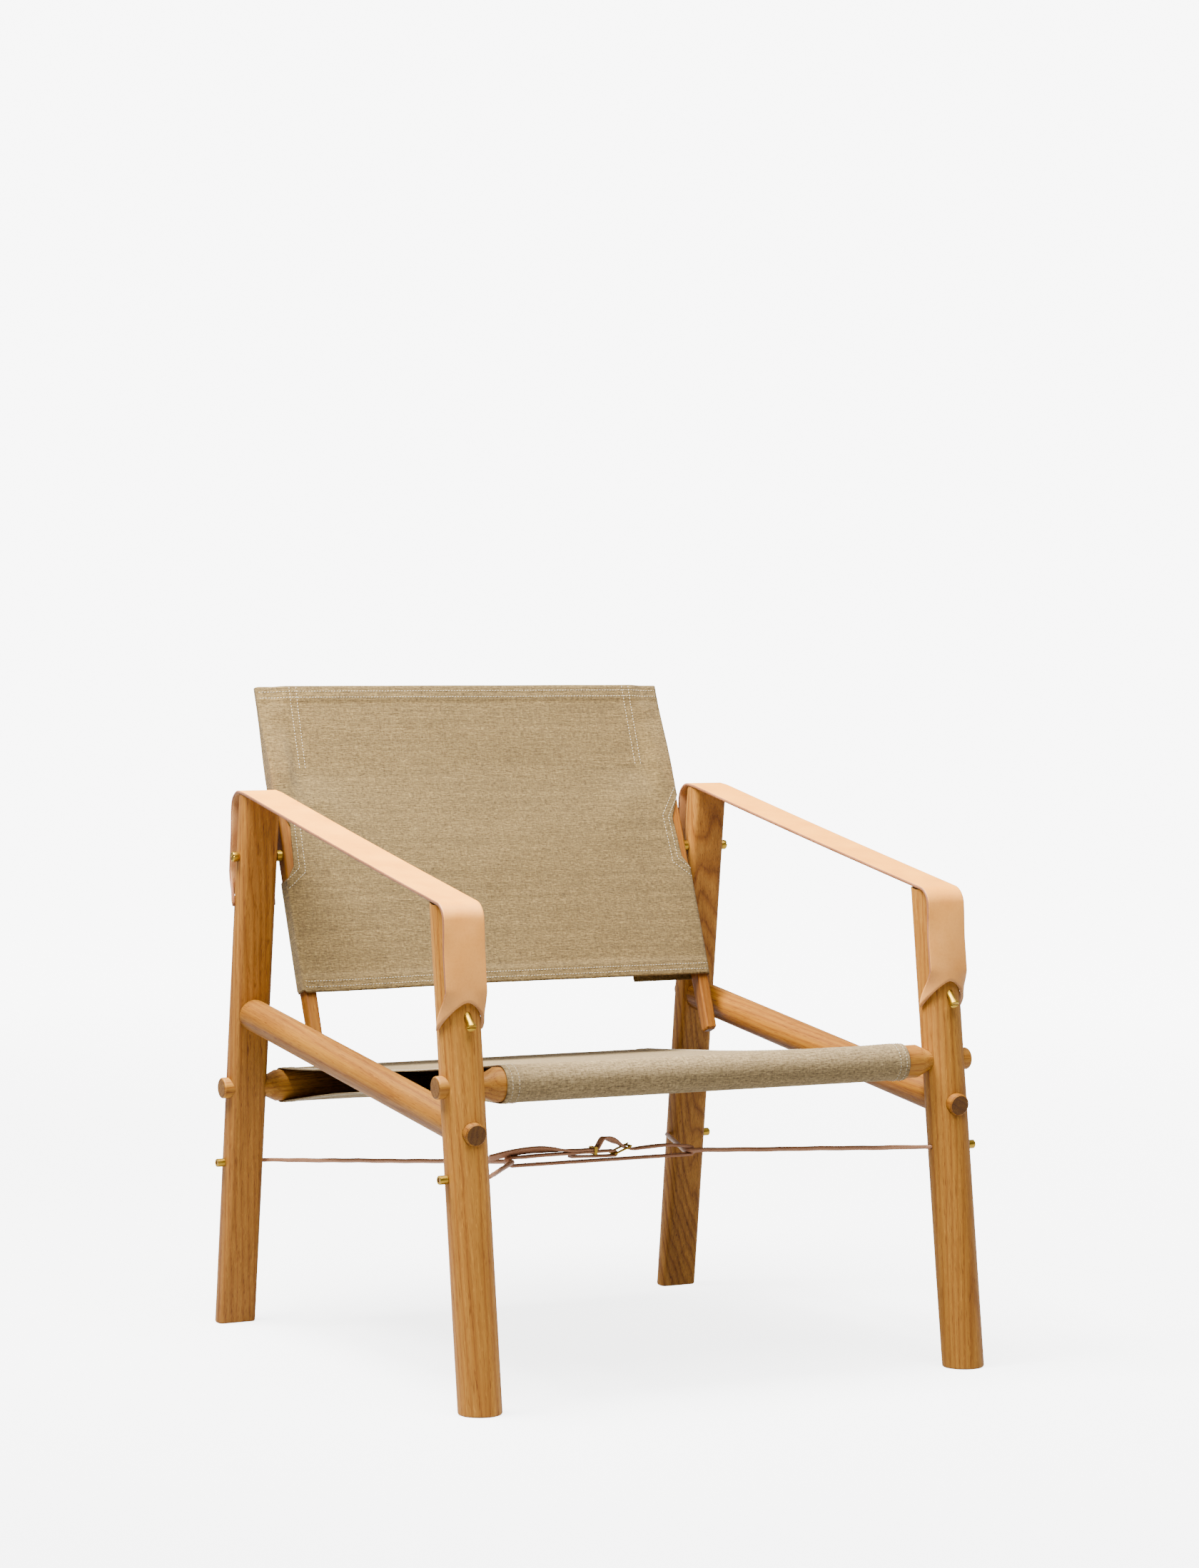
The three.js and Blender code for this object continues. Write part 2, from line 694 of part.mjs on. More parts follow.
function laceRoute(sign, reachX) {
  const outerX = sign * (legX + legRadius + fitGap + ferruleLength - laceEndInset);
  const mouthX = sign * (legX - laceMouthStand);
  const holes = [
    new THREE.Vector3(0, -axisY(frontLaceHeight), frontLaceHeight),
    new THREE.Vector3(0, axisY(rearLaceHeight), rearLaceHeight),
  ];
  const middle = new THREE.Vector3(sign * reachX, beltY, loopZ);
  const frontMouth = holes[0].clone().setX(mouthX);
  const rearMouth = holes[1].clone().setX(mouthX);
  const vertex = bend(frontMouth, middle, rearMouth, laceVertexBend);
  const route = [
    holes[0].clone().setX(outerX),
    ...bend(holes[0].clone().setX(outerX), frontMouth, middle, laceMouthBend),
    ...vertex,
    ...bend(middle, rearMouth, holes[1].clone().setX(outerX), laceMouthBend),
    holes[1].clone().setX(outerX),
  ];
  return { route, tip: vertex[bendSteps / 2] };
}

const laces = { left: laceRoute(-1, leftLaceReach), right: laceRoute(1, rightLaceReach) };
for (const [hand, { route }] of Object.entries(laces)) {
  place(`lace_${hand}`, bentRod(route, laceRadius, laceFacets), cordLeather);
}

// Brass ferrules that hold the laces' ends on the outer sides of the legs
function ferrule() {
  const rim = ferruleRadius * 0.12;
  const sleeve = turned([
    [0, 0], [ferruleRadius, 0], [ferruleRadius, ferruleLength - rim],
    [ferruleRadius - rim, ferruleLength], [0, ferruleLength],
  ], smallFacets);
  return cut(sleeve, rod(ferruleBore, -overrun, overrun, smallFacets)).rotateY(Math.PI / 2);
}

for (const [end, side, height] of [['front', -1, frontLaceHeight], ['rear', 1, rearLaceHeight]]) {
  for (const [hand, sign] of [['left', -1], ['right', 1]]) {
    const sleeve = place(`lace_ferrule_${end}_${hand}`, ferrule(), brass);
    sleeve.position.set(sign * (legX + legRadius + fitGap), side * axisY(height), height);
    sleeve.rotation.z = sign < 0 ? Math.PI : 0;
  }
}

// Belt: one strap. Turned under at the buckle bar, left round the left lace, back below,
// round the right lace, through the buckle, under the keeper and on as a loose tail.
const loopRadius = laceRadius + beltLoopGap + beltThickness / 2;
const leftLoop = new THREE.Vector2(laces.left.tip.x - beltLoopShift, laces.left.tip.z - loopZ);
const rightLoop = new THREE.Vector2(laces.right.tip.x + beltLoopShift, laces.right.tip.z - loopZ);
const barFold = buckleWire + fitGap + beltThickness / 2;
const buckleBarZ = loopZ + buckleBarRise;
const baseZ = buckleBarZ + barFold;

// The belt's free stretches, as hand-chosen points: x, and height above the laces' tips
const underStretch = [[-52, 1.4], [-40, 1], [-22, 0.2], [-10, -0.1]];
const baseStretch = [[-18, 5.2], [-38, 5.2], [-60, 5.1], [-92, 4.9], [-110, 4.4]];
const upperStretch = [[86, 6], [68, 7.4], [40, 6.3], [26, 5.5]];
const humpStretch = [
  [17, 7.6], [9, 12.4], [0, 17.3], [-8, 20.1], [-12, 18.6], [-15, 14.4], [-17.5, 10.4], [-19.5, 8.5],
];
const tailStretch = [
  [-22, 8], [-38, 7.9], [-52, 8.2], [-66, 9.6], [-80, 11.6], [-96, 12.8],
  [-112, 12], [-130, 9.4], [-152, 5.2],
];

function loopArc(centre, radius, from, to, steps) {
  return Array.from({ length: steps + 1 }, (_, i) => {
    const turn = THREE.MathUtils.lerp(from, to, i / steps);
    return [centre.x + radius * Math.cos(turn), centre.y + radius * Math.sin(turn)];
  });
}

function beltRoute() {
  const bar = new THREE.Vector2(buckleBarX, buckleBarRise);
  return [
    ...underStretch,
    ...loopArc(bar, barFold, -Math.PI / 2, Math.PI / 2, bendSteps),
    ...baseStretch,
    ...loopArc(leftLoop, loopRadius, Math.PI / 2, Math.PI * 3 / 2, bendSteps * 2),
    ...loopArc(rightLoop, loopRadius, -Math.PI / 2, Math.PI / 2, bendSteps * 2),
    ...upperStretch, ...humpStretch, ...tailStretch,
  ].map(([x, rise]) => new THREE.Vector2(x, loopZ + rise));
}

function bandAlong(route, thickness) {
  const normals = route.map((_, i) => {
    const before = route[Math.max(i - 1, 0)];
    const after = route[Math.min(i + 1, route.length - 1)];
    const along = after.clone().sub(before).normalize();
    return new THREE.Vector2(-along.y, along.x);
  });
  const side = (amount) => route.map((p, i) => p.clone().addScaledVector(normals[i], amount));
  return new THREE.Shape([...side(-thickness / 2), ...side(thickness / 2).reverse()]);
}

// Lays an outline drawn in (x, z) across the belt's width, centred on the belt's line
function acrossBelt(shape, width, holes = []) {
  shape.holes.push(...holes);
  const body = new THREE.ExtrudeGeometry(shape, { depth: width, bevelEnabled: false });
  return body.rotateX(Math.PI / 2).translate(0, beltY + width / 2, 0);
}

function belt() {
  const strap = acrossBelt(bandAlong(beltRoute(), beltThickness), beltWidth);
  const slotLow = new THREE.BoxGeometry(foldSlotLength, prongSlot, foldSlotLength)
    .translate(buckleBarX + beltThickness / 2, beltY, buckleBarZ + beltThickness / 2);
  const slotHigh = new THREE.BoxGeometry(prongSlotLength, prongSlot, foldSlotLength)
    .translate(prongSlotX, beltY, loopZ + prongSlotRise);
  return cut(strap, slotLow, slotHigh);
}
place('belt', belt(), cordLeather);

// Buckle: a wire frame tipped up toward the right, and the prong hinged on its left bar
function tipped(geometry) {
  return geometry.rotateY(-buckleRise).translate(buckleBarX, beltY, buckleBarZ);
}

function buckleFrame() {
  const barHalf = buckleWidth / 2 - buckleWire;
  const bar = (x) => rod(buckleWire, -barHalf, barHalf, smallFacets).rotateX(Math.PI / 2).translate(x, 0, 0);
  const arm = (y) => rod(buckleWire, 0, buckleReach, smallFacets).rotateY(Math.PI / 2).translate(0, y, 0);
  const knob = (x, y) => new THREE.SphereGeometry(buckleWire, smallFacets, smallFacets / 2).translate(x, y, 0);
  return tipped(join(
    bar(0), bar(buckleReach), arm(-barHalf), arm(barHalf),
    knob(0, -barHalf), knob(0, barHalf), knob(buckleReach, -barHalf), knob(buckleReach, barHalf)));
}
place('buckle_frame', buckleFrame(), brass);

function prong() {
  const eyeInner = buckleWire + fitGap;
  const eyeOuter = eyeInner + prongRadius * 1.6;
  const eye = cut(rod(eyeOuter, -prongRadius, prongRadius, smallFacets),
    rod(eyeInner, -overrun, overrun, smallFacets)).rotateX(Math.PI / 2);
  const lift = buckleWire + fitGap + prongRadius;
  const start = new THREE.Vector3(0, 0, (eyeInner + eyeOuter) / 2);
  const end = new THREE.Vector3(buckleReach + buckleWire, 0, lift);
  const shaft = bentRod([start, end], prongRadius, smallFacets / 2);
  return tipped(join(eye, shaft));
}
place('buckle_prong', prong(), brass);

// Keeper: a flat brass loop round the belt's base and tail
function keeper() {
  const low = baseZ - beltThickness / 2 - clothGap;
  const high = baseZ + beltThickness * 3 / 2 + fitGap + clothGap * 2;
  const wide = beltWidth / 2 + clothGap;
  const outer = new THREE.BoxGeometry(keeperLength, 2 * (wide + keeperWall), high - low + 2 * keeperWall);
  const inner = new THREE.BoxGeometry(keeperLength + overrun, 2 * wide, high - low);
  return cut(outer, inner).translate(keeperX, beltY, (low + high) / 2);
}
place('belt_keeper', keeper(), brass);

export default chair;
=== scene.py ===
import bmesh
import bpy
import math
from mathutils import Matrix, Vector, noise


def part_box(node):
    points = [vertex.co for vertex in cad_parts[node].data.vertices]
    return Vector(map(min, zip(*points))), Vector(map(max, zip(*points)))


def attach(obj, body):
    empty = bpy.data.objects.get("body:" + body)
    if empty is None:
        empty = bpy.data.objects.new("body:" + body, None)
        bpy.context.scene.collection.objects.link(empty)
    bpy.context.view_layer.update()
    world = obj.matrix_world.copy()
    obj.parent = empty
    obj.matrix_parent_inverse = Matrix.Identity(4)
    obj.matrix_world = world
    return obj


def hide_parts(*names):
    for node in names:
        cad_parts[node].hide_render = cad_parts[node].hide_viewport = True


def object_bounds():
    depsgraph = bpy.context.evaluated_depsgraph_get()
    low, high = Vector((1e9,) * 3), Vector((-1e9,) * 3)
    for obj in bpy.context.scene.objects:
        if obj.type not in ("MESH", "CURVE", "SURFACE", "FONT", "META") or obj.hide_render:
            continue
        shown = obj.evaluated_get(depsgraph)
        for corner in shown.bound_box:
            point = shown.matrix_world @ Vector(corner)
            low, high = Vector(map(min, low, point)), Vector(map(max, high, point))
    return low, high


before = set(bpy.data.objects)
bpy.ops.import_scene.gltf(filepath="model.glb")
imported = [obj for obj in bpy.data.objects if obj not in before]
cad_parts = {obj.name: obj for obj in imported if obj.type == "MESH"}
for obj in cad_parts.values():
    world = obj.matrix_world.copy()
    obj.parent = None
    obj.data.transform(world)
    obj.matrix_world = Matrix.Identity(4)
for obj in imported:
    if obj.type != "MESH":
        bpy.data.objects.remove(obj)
cad_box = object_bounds()
bpy.ops.object.select_all(action="DESELECT")


# Camera: a long lens, low and to the left of the chair's front, where the photograph was
# taken from
look_down, look_right = math.radians(1.789), math.radians(28.027)
bpy.ops.object.camera_add(location=(-2.0694, -3.9172, 0.7658),
                          rotation=(math.pi / 2 - look_down, 0, -look_right))
camera = bpy.context.object
camera.data.lens = 91.137
bpy.context.scene.camera = camera


# Studio: a seamless pale sweep under and behind the chair, a key light and a large soft one
# overhead, and two weak ones at the front left and the right. The sweep and the air are
# bright to the camera and much dimmer as light on the chair.
def new_finish(name):
    """An empty finish, and a function that adds one node with its settings and links"""
    finish = bpy.data.materials.new(name)
    finish.use_nodes = True
    tree = finish.node_tree
    tree.nodes.clear()

    def put(kind, inputs=None, **settings):
        node = tree.nodes.new("ShaderNode" + kind)
        for key, value in settings.items():
            setattr(node, key, value)
        for key, value in (inputs or {}).items():
            if isinstance(value, bpy.types.NodeSocket):
                tree.links.new(value, node.inputs[key])
            else:
                node.inputs[key].default_value = value
        return node

    return finish, put


sweep_under_key, sweep_far_off = 3.9, 8.2
sweep_on_chair, sweep_in_gloss = 0.28, 0.8
paint_on_chair, paint_seen = 0.34, 0.62
air_on_chair, air_seen = 0.07, 8.0

sweep_paint, put = new_finish("sweep_paint")
seen = put("LightPath")
where = put("TexCoord")
under_key = put("VectorMath", {0: where.outputs["Object"], 1: (-0.9, -0.7, 0)}, operation="DISTANCE")
away = put("MapRange", {"Value": under_key.outputs["Value"], "From Max": 6.0},
           interpolation_type="SMOOTHSTEP")
bright = put("MapRange", {"Value": away.outputs[0], "To Min": sweep_under_key, "To Max": sweep_far_off})
dim = put("MapRange", {"Value": seen.outputs["Is Glossy Ray"], "To Min": sweep_on_chair,
                       "To Max": sweep_in_gloss})
level = put("MapRange", {"Value": seen.outputs["Is Camera Ray"], "To Min": dim.outputs[0],
                         "To Max": bright.outputs[0]})
shade = put("MapRange", {"Value": seen.outputs["Is Camera Ray"], "To Min": paint_on_chair,
                         "To Max": paint_seen})
matt = put("BsdfDiffuse", {"Color": shade.outputs[0]})
glow = put("Emission", {"Color": (1, 1, 1, 1), "Strength": level.outputs[0]})
both = put("AddShader", {0: glow.outputs[0], 1: matt.outputs[0]})
put("OutputMaterial", {"Surface": both.outputs[0]})

bpy.ops.mesh.primitive_plane_add(size=26, location=(0, 0, 0))
sweep = bpy.context.object
sweep.name = "studio_sweep"
bpy.ops.object.mode_set(mode="EDIT")
bpy.ops.mesh.select_all(action="DESELECT")
form = bmesh.from_edit_mesh(sweep.data)
for edge in form.edges:
    edge.select_set(all(v.co.y > 1 for v in edge.verts))
bmesh.update_edit_mesh(sweep.data)
bpy.ops.mesh.extrude_region_move(TRANSFORM_OT_translate={"value": (0, 0, 14)})
bpy.ops.mesh.select_all(action="DESELECT")
form = bmesh.from_edit_mesh(sweep.data)
for edge in form.edges:
    edge.select_set(all(v.co.y > 1 and v.co.z < 1 for v in edge.verts))
bmesh.update_edit_mesh(sweep.data)
bpy.ops.mesh.bevel(offset=5, segments=16)
bpy.ops.object.mode_set(mode="OBJECT")
bpy.ops.object.shade_smooth()
sweep.rotation_euler = (0, 0, math.radians(-28))
sweep.data.materials.append(sweep_paint)

world = bpy.data.worlds.new("studio_air")
world.use_nodes = True
air = world.node_tree
air.nodes["Background"].inputs["Color"].default_value = (1, 1, 1, 1)
seen = air.nodes.new("ShaderNodeLightPath")
level = air.nodes.new("ShaderNodeMapRange")
level.inputs["To Min"].default_value, level.inputs["To Max"].default_value = air_on_chair, air_seen
air.links.new(seen.outputs["Is Camera Ray"], level.inputs["Value"])
air.links.new(level.outputs[0], air.nodes["Background"].inputs["Strength"])
bpy.context.scene.world = world

chair_middle = Vector((0, 0, 0.4))
for name, place, width, watts in [("key", (-0.8, 0.1, 2.2), 1.1, 218),
                                  ("overhead", (-0.2, -0.9, 3.2), 2.2, 220),
                                  ("front_left", (-3.2, -3.4, 2.3), 2.0, 14),
                                  ("right", (3.6, -1.0, 1.6), 2.4, 17)]:
    bpy.ops.object.light_add(type="AREA", location=place)
    lamp = bpy.context.object
    lamp.name = "light_" + name
    lamp.data.size = width
    lamp.data.energy = watts
    lamp.rotation_euler = (chair_middle - Vector(place)).to_track_quat("-Z", "Y").to_euler()


# Oak frame: four legs turned round outside and planed flat inside, two seat rails and two
# side rails with round tenons that go right through the legs, and two back stiles. It is
# ring-porous oak under oil: yearly rings, long dark pores and a fine fibre along each piece.
def ramp(put, share, *stops):
    """The tone at a share of the way along stops. Each stop is a place and a colour or grey."""
    node = put("ValToRGB", {"Fac": share})
    bar = node.color_ramp.elements
    while len(bar) < len(stops):
        bar.new(0.5)
    for slot, (spot, tone) in zip(bar, stops):
        slot.position = spot
        slot.color = (*(tone if isinstance(tone, tuple) else (tone,) * 3), 1)
    return node.outputs["Color"]


def tinted(put, tone, tint, share=1.0):
    """A tone multiplied by a tint, as far as share says"""
    both = put("Mix", {"Factor": share, 6: tone, 7: tint}, data_type="RGBA", blend_type="MULTIPLY")
    return both.outputs[2]


# How far the yearly rings swirl, in metres
straight, wavy, flamed = 0.017, 0.024, 0.04


def sawn_oak(node, grain, heart, lean, depth, swirl):
    """Oak whose fibre runs along grain, with the tree's heart set off from the piece's middle.
    The depth darkens each of red, green and blue, on some pieces as painted shade; the swirl bends the rings."""
    finish, put = new_finish("oak_" + node)
    middle = sum(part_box(node), Vector()) / 2
    turn = Vector(grain).rotation_difference(Vector((0, 0, 1))).to_matrix()
    turn = Matrix.Rotation(lean, 3, "X") @ Matrix.Rotation(lean * 0.6, 3, "Y") @ turn
    where = put("TexCoord")
    laid = put("Mapping", {"Vector": where.outputs["Object"], "Rotation": turn.to_euler("XYZ"),
                           "Location": Vector(heart) - turn @ middle}).outputs[0]

    def grained(squeeze, scale, detail, rough=0.5):
        """Noise drawn out along the fibre"""
        drawn = put("Mapping", {"Vector": laid, "Scale": (1, 1, squeeze)})
        return put("TexNoise", {"Vector": drawn.outputs[0], "Scale": scale, "Detail": detail,
                                "Roughness": rough}).outputs

    sway = grained(0.16, 17, 1.5)["Color"]
    bent = put("VectorMath", {0: sway, 1: (swirl, swirl, 0), 2: laid}, operation="MULTIPLY_ADD")
    slow = put("Mapping", {"Vector": bent.outputs[0], "Scale": (1, 1, 0.1)})
    rings = put("TexWave", {"Vector": slow.outputs[0], "Scale": 52, "Distortion": 3.4, "Detail": 2.0,
                            "Detail Scale": 1.1, "Detail Roughness": 0.5},
                wave_type="RINGS", rings_direction="Z", wave_profile="SAW").outputs["Fac"]
    fibre = grained(0.03, 560, 3, 0.6)["Fac"]
    pores = grained(0.06, 1050, 1.5)["Fac"]
    stripes = grained(0.03, 105, 2.5, 0.55)["Fac"]
    clouds = grained(0.2, 22, 2)["Fac"]
    ray_flecks = grained(0.2, 620, 0.5)["Fac"]
    early_wood = ramp(put, rings, (0.0, 1), (0.6, 0.45))
    tints = [(stripes, 0.75, (0.34, (0.8, 0.73, 0.64)), (0.5, (0.97, 0.96, 0.94)), (0.66, 1.08)),
             (fibre, 0.85, (0.36, (0.84, 0.8, 0.76)), (0.6, 1.03)),
             (pores, early_wood, (0.33, (0.5, 0.4, 0.32)), (0.42, 1)),
             (clouds, 0.9, (0.34, (0.86, 0.82, 0.76)), (0.66, 1.05)),
             (ray_flecks, 0.85, (0.66, 1), (0.72, (1.2, 1.22, 1.3)))]
    if swirl == flamed:
        tints.append((rings, 0.62, (0.0, (0.72, 0.66, 0.6)), (0.42, (1.05, 1.04, 1.02)),
                      (0.8, (1.08, 1.08, 1.06)), (1.0, (0.74, 0.68, 0.62))))
    tone = ramp(put, rings, (0.0, (0.3021, 0.1187, 0.0143)), (0.1, (0.3763, 0.1611, 0.0196)),
                (0.6, (0.424, 0.195, 0.027)), (0.88, (0.371, 0.1579, 0.0191)),
                (1.0, (0.3021, 0.1187, 0.0143)))
    for pattern, share, *stops in tints:
        tone = tinted(put, tone, ramp(put, pattern, *stops), share)
    across = put("VectorMath", {0: where.outputs["Normal"], 1: tuple(grain)}, operation="DOT_PRODUCT")
    ends = put("Math", {0: across.outputs["Value"]}, operation="ABSOLUTE")
    tone = tinted(put, tone, (0.42, 0.42, 0.5, 1), ramp(put, ends.outputs[0], (0.72, 0), (0.93, 1)))
    tone = tinted(put, tone, (*depth, 1))
    gloss = put("MapRange", {"Value": fibre, "From Min": 0.3, "From Max": 0.7, "To Min": 0.6, "To Max": 0.46})
    grooves = put("Math", {0: fibre, 1: pores}, operation="ADD")
    relief = put("Bump", {"Height": grooves.outputs[0], "Strength": 0.3, "Distance": 0.0004})
    skin = put("BsdfPrincipled", {"Base Color": tone, "Roughness": gloss.outputs[0],
                                  "Normal": relief.outputs[0], "Specular IOR Level": 0.2})
    put("OutputMaterial", {"Surface": skin.outputs[0]})
    return finish


def pick(piece):
    """Selects one object alone and makes it the active one"""
    bpy.ops.object.select_all(action="DESELECT")
    piece.select_set(True)
    bpy.context.view_layer.objects.active = piece


def fair_copy(node, name, body, finish, angle=38, edge=0.0, reshape=None):
    """The frame's own shape with its faces joined, its edges eased and its round faces smooth"""
    piece = bpy.data.objects.new(name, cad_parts[node].data.copy())
    bpy.context.scene.collection.objects.link(piece)
    form = bmesh.new()
    form.from_mesh(piece.data)
    bmesh.ops.remove_doubles(form, verts=form.verts, dist=1e-5)
    if reshape:
        reshape(form)
    if edge:
        bmesh.ops.dissolve_limit(form, angle_limit=math.radians(0.3), verts=form.verts, edges=form.edges)
    form.to_mesh(piece.data)
    form.free()
    piece.data.materials.clear()
    piece.data.materials.append(finish)
    pick(piece)
    if edge:
        ease = piece.modifiers.new("eased_edges", "BEVEL")
        ease.width = edge
        ease.segments = 2
        ease.limit_method = "ANGLE"
        ease.angle_limit = math.radians(40)
        bpy.ops.object.modifier_apply(modifier="eased_edges")
    bpy.ops.object.shade_smooth_by_angle(angle=math.radians(angle))
    bpy.ops.object.modifier_add(type="WEIGHTED_NORMAL")
    piece.modifiers[-1].keep_sharp = True
    bpy.ops.object.modifier_apply(modifier=piece.modifiers[-1].name)
    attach(piece, body)
    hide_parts(node)
    return piece


leg_lean, back_tilt, rail_lean = math.radians(7.1), math.radians(20.8), math.radians(7.67)
leg_x, foot_spread, leg_radius, leg_flat = 0.292, 0.640, 0.023, 0.013
leg_tops = {-1: 0.5148, 1: 0.6131}
top_round, inner_round, solid_round = 0.017, 0.004, 0.012
pivot = Vector((0, 0.25243, 0.5425))
back_turn = Matrix.Rotation(-back_tilt, 3, "X")


def leg_up(side):
    return Vector((0, -side * math.sin(leg_lean), math.cos(leg_lean)))


def leg_out(side):
    return Vector((0, side * math.cos(leg_lean), math.sin(leg_lean)))


def leg_at(side, height):
    return Vector((0, side * (foot_spread / 2 - height * math.tan(leg_lean)), height))


def smooth(value):
    value = max(0.0, min(1.0, value))
    return value * value * (3 - 2 * value)


def fallen(reach, radius):
    """How far a rounded edge has fallen at a reach past where its round starts"""
    return radius - math.sqrt(max(0.0, radius ** 2 - max(0.0, reach) ** 2))


def cut(form, faces, place, way):
    """Cuts the given faces of a form along a plane"""
    parts = list({e for f in faces for e in f.edges}) + list({v for f in faces for v in f.verts}) + faces
    bmesh.ops.bisect_plane(form, geom=parts, plane_co=place, plane_no=way, dist=1e-6)


def leg_top(side, rise):
    """Gives a leg's top its wide round outside, where the strap turns, and its eased inner
    edge, and lifts its inner half by rise"""
    def reshape(form):
        top, up, out = leg_at(side, leg_tops[side]), leg_up(side), leg_out(side)
        for depth in (-0.0125, -0.0117, -0.0105, -0.009, -0.006, -0.002, 0.002, 0.006, 0.008, 0.0105):
            near = [f for f in form.faces if (top - f.calc_center_median()).dot(up) < 0.001]
            cut(form, near, top + out * depth, out)
        for vert in form.verts:
            drop, depth = (top - vert.co).dot(up), (vert.co - top).dot(out)
            if drop > solid_round + 0.0005:
                continue
            past_hub = depth - (leg_radius - top_round)
            level = fallen(past_hub, top_round) if past_hub > 0 else -rise * smooth((0.004 - depth) / 0.014)
            level += fallen(inner_round - leg_flat - depth, inner_round)
            solid_level = fallen(depth - (leg_radius - solid_round), solid_round)
            if abs(drop - solid_level) < 0.0006:
                vert.co += up * (drop - level)
    return reshape


def thin_stile_top(form):
    """Thins a stile's top end, which the sewn-down top of its pocket hides"""
    for vert in form.verts:
        spot = back_turn.inverted() @ (vert.co - pivot)
        if spot.z > 0.15:
            vert.co = pivot + back_turn @ Vector((spot.x, spot.y * 0.24, spot.z - 0.016))


up_front, up_rear = leg_up(-1), leg_up(1)
along_rail = (0, math.cos(rail_lean), math.sin(rail_lean))
up_back = (0, math.sin(back_tilt), math.cos(back_tilt))
front_top, rear_top = leg_top(-1, 0.0045), leg_top(1, 0)
# The depth of the rear left leg, the side rails and the stiles is painted shade: they are made darker for the
# shade of the straps and the canvas above them.
for node, body, grain, heart, lean, depth, swirl, reshape in [
    ("leg_front_left", "frame", up_front, (0.011, 0.058, 0.0), 0.020,
     (1, 0.97, 1), straight, front_top),
    ("leg_front_right", "frame", up_front, (-0.034, 0.052, 0.4), -0.026,
     (0.87, 0.84, 0.85), straight, front_top),
    ("leg_rear_left", "frame", up_rear, (0.037, -0.036, 0.9), 0.034,
     (0.8, 0.75, 0.85), straight, rear_top),
    ("leg_rear_right", "frame", up_rear, (-0.036, 0.010, 1.3), 0.17,
     (0.86, 0.84, 1), flamed, rear_top),
    ("seat_rail_front", "frame", (1, 0, 0), (0.036, 0.041, 2.1), 0.012,
     (0.95, 0.92, 0.9), straight, None),
    ("seat_rail_rear", "frame", (1, 0, 0), (-0.044, 0.022, 2.9), 0.018,
     (0.95, 0.92, 0.9), straight, None),
    ("side_rail_left", "frame", along_rail, (0.052, 0.013, 3.4), -0.015,
     (0.68, 0.62, 0.38), wavy, None),
    ("side_rail_right", "frame", along_rail, (-0.031, 0.044, 4.2), 0.022,
     (0.68, 0.58, 0.22), wavy, None),
    ("back_stile_left", "backrest", up_back, (0.026, 0.042, 5.0), 0.016,
     (0.58, 0.5, 0.38), straight, thin_stile_top),
    ("back_stile_right", "backrest", up_back, (-0.041, 0.019, 5.7), -0.024,
     (0.6, 0.5, 0.4), straight, thin_stile_top),
]:
    fair_copy(node, node + "_wood", body, sawn_oak(node, grain, heart, lean, depth, swirl),
              edge=0.0009, reshape=reshape)


# Brass fittings: turned and polished bolts, studs, spacers, inserts and ferrules, a bent
# wire buckle and a pressed keeper. Handling leaves them bright with a soft, uneven gloss.
brass, put = new_finish("polished_brass")
where = put("TexCoord")
cloud = put("TexNoise", {"Vector": where.outputs["Object"], "Scale": 160, "Detail": 3}).outputs["Fac"]
marks = put("TexNoise", {"Vector": where.outputs["Object"], "Scale": 2600, "Detail": 2}).outputs["Fac"]
tone = ramp(put, cloud, (0, (0.36, 0.215, 0.02)), (1, (0.48, 0.3, 0.04)))
gloss = put("MapRange", {"Value": cloud, "From Min": 0.3, "From Max": 0.7, "To Min": 0.36, "To Max": 0.44})
relief = put("Bump", {"Height": marks, "Strength": 0.06, "Distance": 0.00008})
skin = put("BsdfPrincipled", {"Base Color": tone, "Metallic": 1.0, "Roughness": gloss.outputs[0],
                              "Normal": relief.outputs[0]})
put("OutputMaterial", {"Surface": skin.outputs[0]})

for side in ("left", "right"):
    fair_copy("stile_insert_" + side, f"stile_insert_{side}_sleeve", "backrest", brass, 30)
    fair_copy("pivot_bolt_" + side, f"pivot_bolt_{side}_turned", "backrest", brass, 30)
    fair_copy("pivot_spacer_" + side, f"pivot_spacer_{side}_ring", "frame", brass, 30)
    for end in ("front", "rear"):
        for node in (f"strap_stud_{end}_{side}", f"lace_ferrule_{end}_{side}"):
            fair_copy(node, node + "_turned", "frame", brass, 30)
fair_copy("buckle_frame", "buckle_wire", "frame", brass, 50)
fair_copy("buckle_prong", "buckle_prong_pin", "prong", brass, 50)
fair_copy("belt_keeper", "belt_keeper_loop", "keeper", brass, 30)


# Linen canvas: heavy plain weave of undyed yarn, thick and thin in places, with darker
# slubs both ways, a few specks of straw, and a soft matt bloom. The sewing thread is paler.
cloth_thickness = 0.0012


